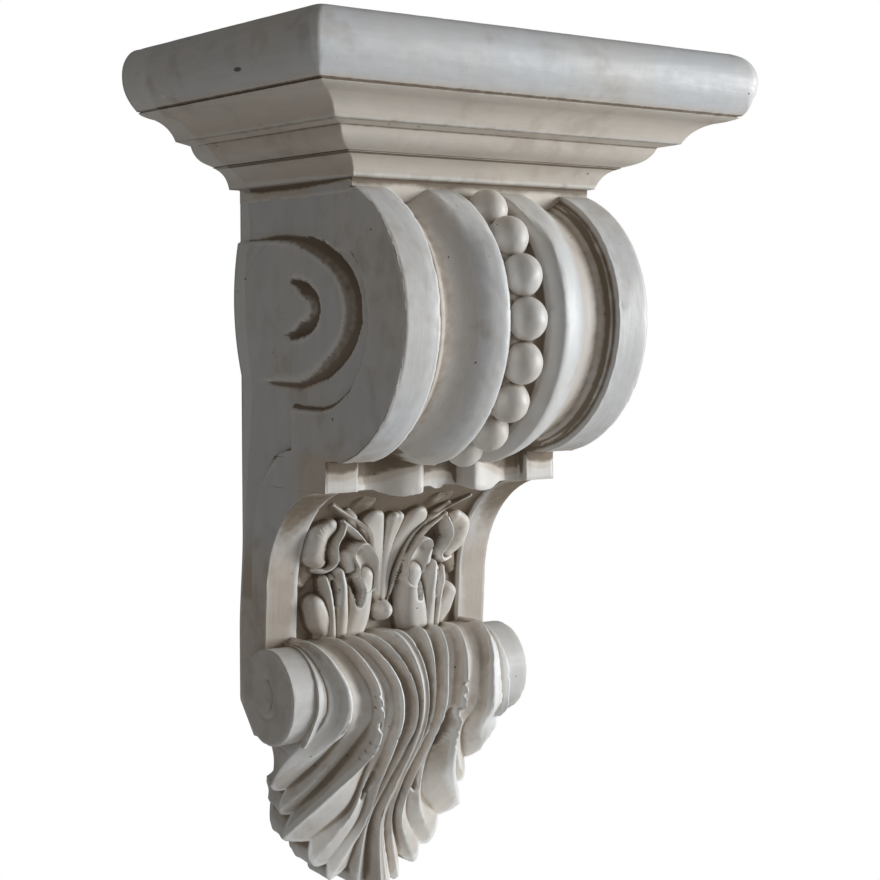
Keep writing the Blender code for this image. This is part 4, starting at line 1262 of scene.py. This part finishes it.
def bevelled(points, normals):
    """1 on the sloping cuts in the body's sides, which keep the glaze."""
    level = np.abs(normals[:, 0])
    near = smooth_step(HALF_BODY - 0.0095, HALF_BODY - 0.0085, np.abs(points[:, 0]))
    clear = smooth_step(0.028, 0.045, -points[:, 1])
    return smooth_step(0.965, 0.90, level) * near * clear * (level > 0.35)


def on_scroll(points):
    """1 on the scroll's front above the block's foot."""
    return smooth_step(BLOCK_FOOT, BLOCK_DROP, TOP - points[:, 2]) * (-points[:, 1] > 0.045)


def fluted(points):
    """1 in the coves of the scroll's front and beside its beads, where a warm film stays and where the right
    cove takes painted shade.
    """
    return smooth_step(0.0005, -0.0045, front_relief(points[:, 0])) * on_scroll(points)


def max_of(layers):
    return np.maximum.reduce(list(layers))


def fillet_lines(points):
    """Glaze in the two narrow lines along the inside of each band."""
    x = np.abs(points[:, 0])
    lines = max_of(1 - smooth_step(0.0004, 0.0010, np.abs(x - middle))
                   for middle in (PANEL_HALF - 0.0003, FILLET_IN - 0.0004))
    return lines * on_scroll(points)


def panel_ground(points):
    """1 on the panel's sunk ground, which keeps the most glaze."""
    drop = TOP - points[:, 2]
    field = np.array([cavetto_depth(value) for value in drop]) - PANEL_RECESS
    return smooth_step(0.0075, 0.0015, -points[:, 1] - field)


def quirk_lines(drop):
    """Glaze left in the narrow lines between the shelf's members."""
    return max_of(strength * (1 - smooth_step(0.4 * half, half, np.abs(drop - middle)))
                  for middle, half, strength in QUIRK_LINES)


def shelf_shares(points, normals, closed):
    """Closed, warm and dull shares: glaze lines and yellowed paint on the mouldings under the slab."""
    drop = TOP - points[:, 2]
    neck_side = smooth_step(0.074, 0.078, drop) * (np.abs(points[:, 0]) > HALF_BODY - 0.001)
    warm = smooth_step(SLAB_HEIGHT - 0.004, SLAB_HEIGHT + 0.001, drop) * (1 - 0.9 * neck_side)
    return np.maximum(0.72 * closed, quirk_lines(drop)), warm, 0.0


def scroll_shares(points, normals, closed):
    """Glaze on bevels and fillets, a yellowed block, a brown film low down, and a brown film in the right
    cove that is painted shade.
    """
    drop, coves = TOP - points[:, 2], fluted(points)
    closed = np.maximum(closed, 0.62 * bevelled(points, normals))
    closed = np.maximum(closed, 0.85 * fillet_lines(points))
    block = smooth_step(BLOCK_DROP - 0.008, BLOCK_DROP, drop) * smooth_step(0.260, BLOCK_FOOT, drop)
    block *= smooth_step(0.05, 0.07, -points[:, 1])
    lower = smooth_step(0.262, 0.300, drop)
    warm = max_of((block, 0.7 * lower, 0.55 * coves))
    # The brown film in the right cove, on that side only, is painted shade
    dull_and_shade = np.maximum(0.85 * lower * (np.abs(points[:, 0]) < HALF_BODY - 0.001),
                      0.45 * coves * smooth_step(0.016, 0.030, points[:, 0]))
    return closed * (1 - 0.4 * warm), warm, dull_and_shade


def panel_shares(points, normals, closed):
    """Glaze on the panel's sunk ground."""
    return np.maximum(0.8 * closed, 0.75 * panel_ground(points)), EVEN_WARMTH, 0.0


PIECE_SHARES = {"moulded_shelf": shelf_shares, "scroll_body": scroll_shares, "carved_panel": panel_shares}


def store_hollows(piece, tree):
    """Keep on every point how hollow, sharp, closed in, yellowed and dulled it is, the dulling in the
    scroll's right cove being painted shade.
    """
    fine = hollowness(piece.data, 8) / FINE_HOLLOW
    broad = hollowness(piece.data, 60) / BROAD_HOLLOW
    closed, warm, dull_and_shade = closed_in(piece, tree), EVEN_WARMTH, 0.0
    if piece.name in PIECE_SHARES:
        points, normals = coordinates(piece.data), normals_of(piece.data)
        closed, warm, dull_and_shade = PIECE_SHARES[piece.name](points, normals, closed)
    keep_values(piece, "hollow", np.clip(np.maximum(fine, broad), 0, 1))
    keep_values(piece, "arris", np.clip(-np.minimum(fine, broad), 0, 1))
    keep_values(piece, "closed", closed)
    keep_values(piece, "warm", warm)
    keep_values(piece, "dull_and_shade", dull_and_shade)


def joined_tree(pieces):
    """One search tree over every piece, for finding near surfaces."""
    places, faces, first = [], [], 0
    for piece in pieces:
        places += coordinates(piece.data).tolist()
        faces += [[first + corner for corner in face.vertices] for face in piece.data.polygons]
        first = len(places)
    return BVHTree.FromPolygons(places, faces)


# Studio

def round_floor():
    """A pale disc well below the console, in sight only from above."""
    turn = np.linspace(0, 2 * math.pi, 96, endpoint=False)
    level = CAD_LOW[2] - FLOOR_GAP
    rim = [(FLOOR_RADIUS * math.cos(t), FLOOR_RADIUS * math.sin(t), level) for t in turn]
    data = bpy.data.meshes.new("floor")
    data.from_pydata(rim, [], [list(range(len(rim)))])
    paint = bpy.data.materials.new("pale_floor")
    paint.use_nodes = True
    tree = paint.node_tree
    shader = tree.nodes["Principled BSDF"]
    shader.inputs["Base Color"].default_value = colour_of(0.86, 0.86, 0.86)
    shader.inputs["Roughness"].default_value = 0.8
    shader.inputs["Emission Color"].default_value = WHITE
    seen = tree.nodes.new("ShaderNodeLightPath").outputs["Is Camera Ray"]
    tree.links.new(math_node(tree, "MULTIPLY", seen, 0.5), shader.inputs["Emission Strength"])
    data.materials.append(paint)
    placed("floor", data)


def white_room():
    """White behind the object, and a dim warm light from all round it."""
    world = bpy.data.worlds.new("studio")
    world.use_nodes = True
    tree = world.node_tree
    lighting = tree.nodes["Background"]
    lighting.inputs["Color"].default_value = ROOM_TINT
    lighting.inputs["Strength"].default_value = ROOM_STRENGTH
    seen = add_node(tree, "ShaderNodeBackground", {"Color": WHITE})
    camera_ray = tree.nodes.new("ShaderNodeLightPath").outputs["Is Camera Ray"]
    mix = add_node(tree, "ShaderNodeMixShader", {"Fac": camera_ray, 1: lighting.outputs[0],
                                                 2: seen.outputs[0]})
    tree.links.new(mix.outputs[0], tree.nodes["World Output"].inputs["Surface"])
    bpy.context.scene.world = world


def soft_light(name, turn, rise, distance, size, power, tint):
    """An area light aimed at the console, turned from the front and raised by angles in degrees."""
    light = bpy.data.lights.new(name, "AREA")
    light.size, light.energy, light.color = size, power, tint
    turn, rise = math.radians(turn), math.radians(rise)
    way = Vector((math.sin(turn) * math.cos(rise), -math.cos(turn) * math.cos(rise), math.sin(rise)))
    lamp = placed(name, light)
    lamp.location = Vector(LIT_PLACE) + way * distance
    lamp.rotation_euler = way.to_track_quat("Z", "Y").to_euler()


def photo_camera():
    """The camera at the photograph's place and angle."""
    camera = bpy.data.cameras.new("camera")
    camera.lens, camera.sensor_width = LENS, SENSOR
    eye = placed("camera", camera)
    eye.location = CAMERA_PLACE
    eye.rotation_euler = Vector(CAMERA_AIM).to_track_quat("-Z", "Y").to_euler()
    bpy.context.scene.camera = eye


def studio():
    """Floor, room, lights and camera."""
    round_floor()
    white_room()
    soft_light("key", turn=56, rise=6, distance=2.2, size=1.0, power=46.0, tint=(0.95, 0.98, 1.0))
    soft_light("fill", turn=-75, rise=5, distance=2.0, size=1.5, power=1.0, tint=(1.0, 0.97, 0.93))
    photo_camera()
    bpy.context.scene.view_settings.view_transform = "Standard"


def build():
    """Make the pieces, age their surfaces and paint them."""
    shelf_paint = aged_paint("shelf_paint", COOL_WHITE, WARM_WHITE, LEVEL_BRUSH, glaze=0.88, rubbed_and_highlit=0.4,
                             film=0.12, start=0.34, full=0.80, marks=SHELF_MARKS)
    scroll_paint = aged_paint("scroll_paint", COOL_WHITE, WARM_WHITE, UPRIGHT_BRUSH, glaze=0.85, rubbed_and_highlit=0.5,
                              film=0.14, start=0.30, full=0.75, marks=SCROLL_MARKS)
    bead_paint = aged_paint("bead_paint", CHALK_WHITE, WARM_BEIGE, ROUND_BRUSH, glaze=0.85, rubbed_and_highlit=0.3,
                            film=0.08, start=0.36, full=0.85)
    # The leaf's crests take the most rubbed pale paint, which is also a painted highlight
    leaf_paint = aged_paint("carved_leaf_paint", CHALK_WHITE, WARM_BEIGE, ROUND_BRUSH, glaze=0.62,
                            rubbed_and_highlit=0.95, film=0.14, start=0.14, full=0.60)
    panel_paint = aged_paint("carved_panel_paint", CHALK_WHITE, WARM_BEIGE, ROUND_BRUSH, glaze=0.80,
                             rubbed_and_highlit=0.7, film=0.10, start=0.22, full=0.70)
    roll_paint = aged_paint("roll_paint", COOL_WHITE, CHALK_WHITE, ALONG_ROLL_BRUSH, glaze=0.8, rubbed_and_highlit=0.5,
                            film=0.10, start=0.34, full=0.80)
    painted = ((shelf(), shelf_paint), (scroll_body(), scroll_paint),
               (string_of_beads(bead_paint), bead_paint), (carved_panel(), panel_paint), (roll(), roll_paint),
               (hanging_leaf(), leaf_paint), (leaf_flap(1, "leaf_flap_right"), leaf_paint),
               (leaf_flap(-1, "leaf_flap_left"), leaf_paint))
    for number, (piece, paint) in enumerate(painted):
        weathered(piece, RIPPLE, WEAR, 11 * number)
    tree = joined_tree([piece for piece, paint in painted])
    for piece, paint in painted:
        store_hollows(piece, tree)
        piece.data.materials.clear()
        piece.data.materials.append(paint)
        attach(piece, "root")
        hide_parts("console")


build()
studio()
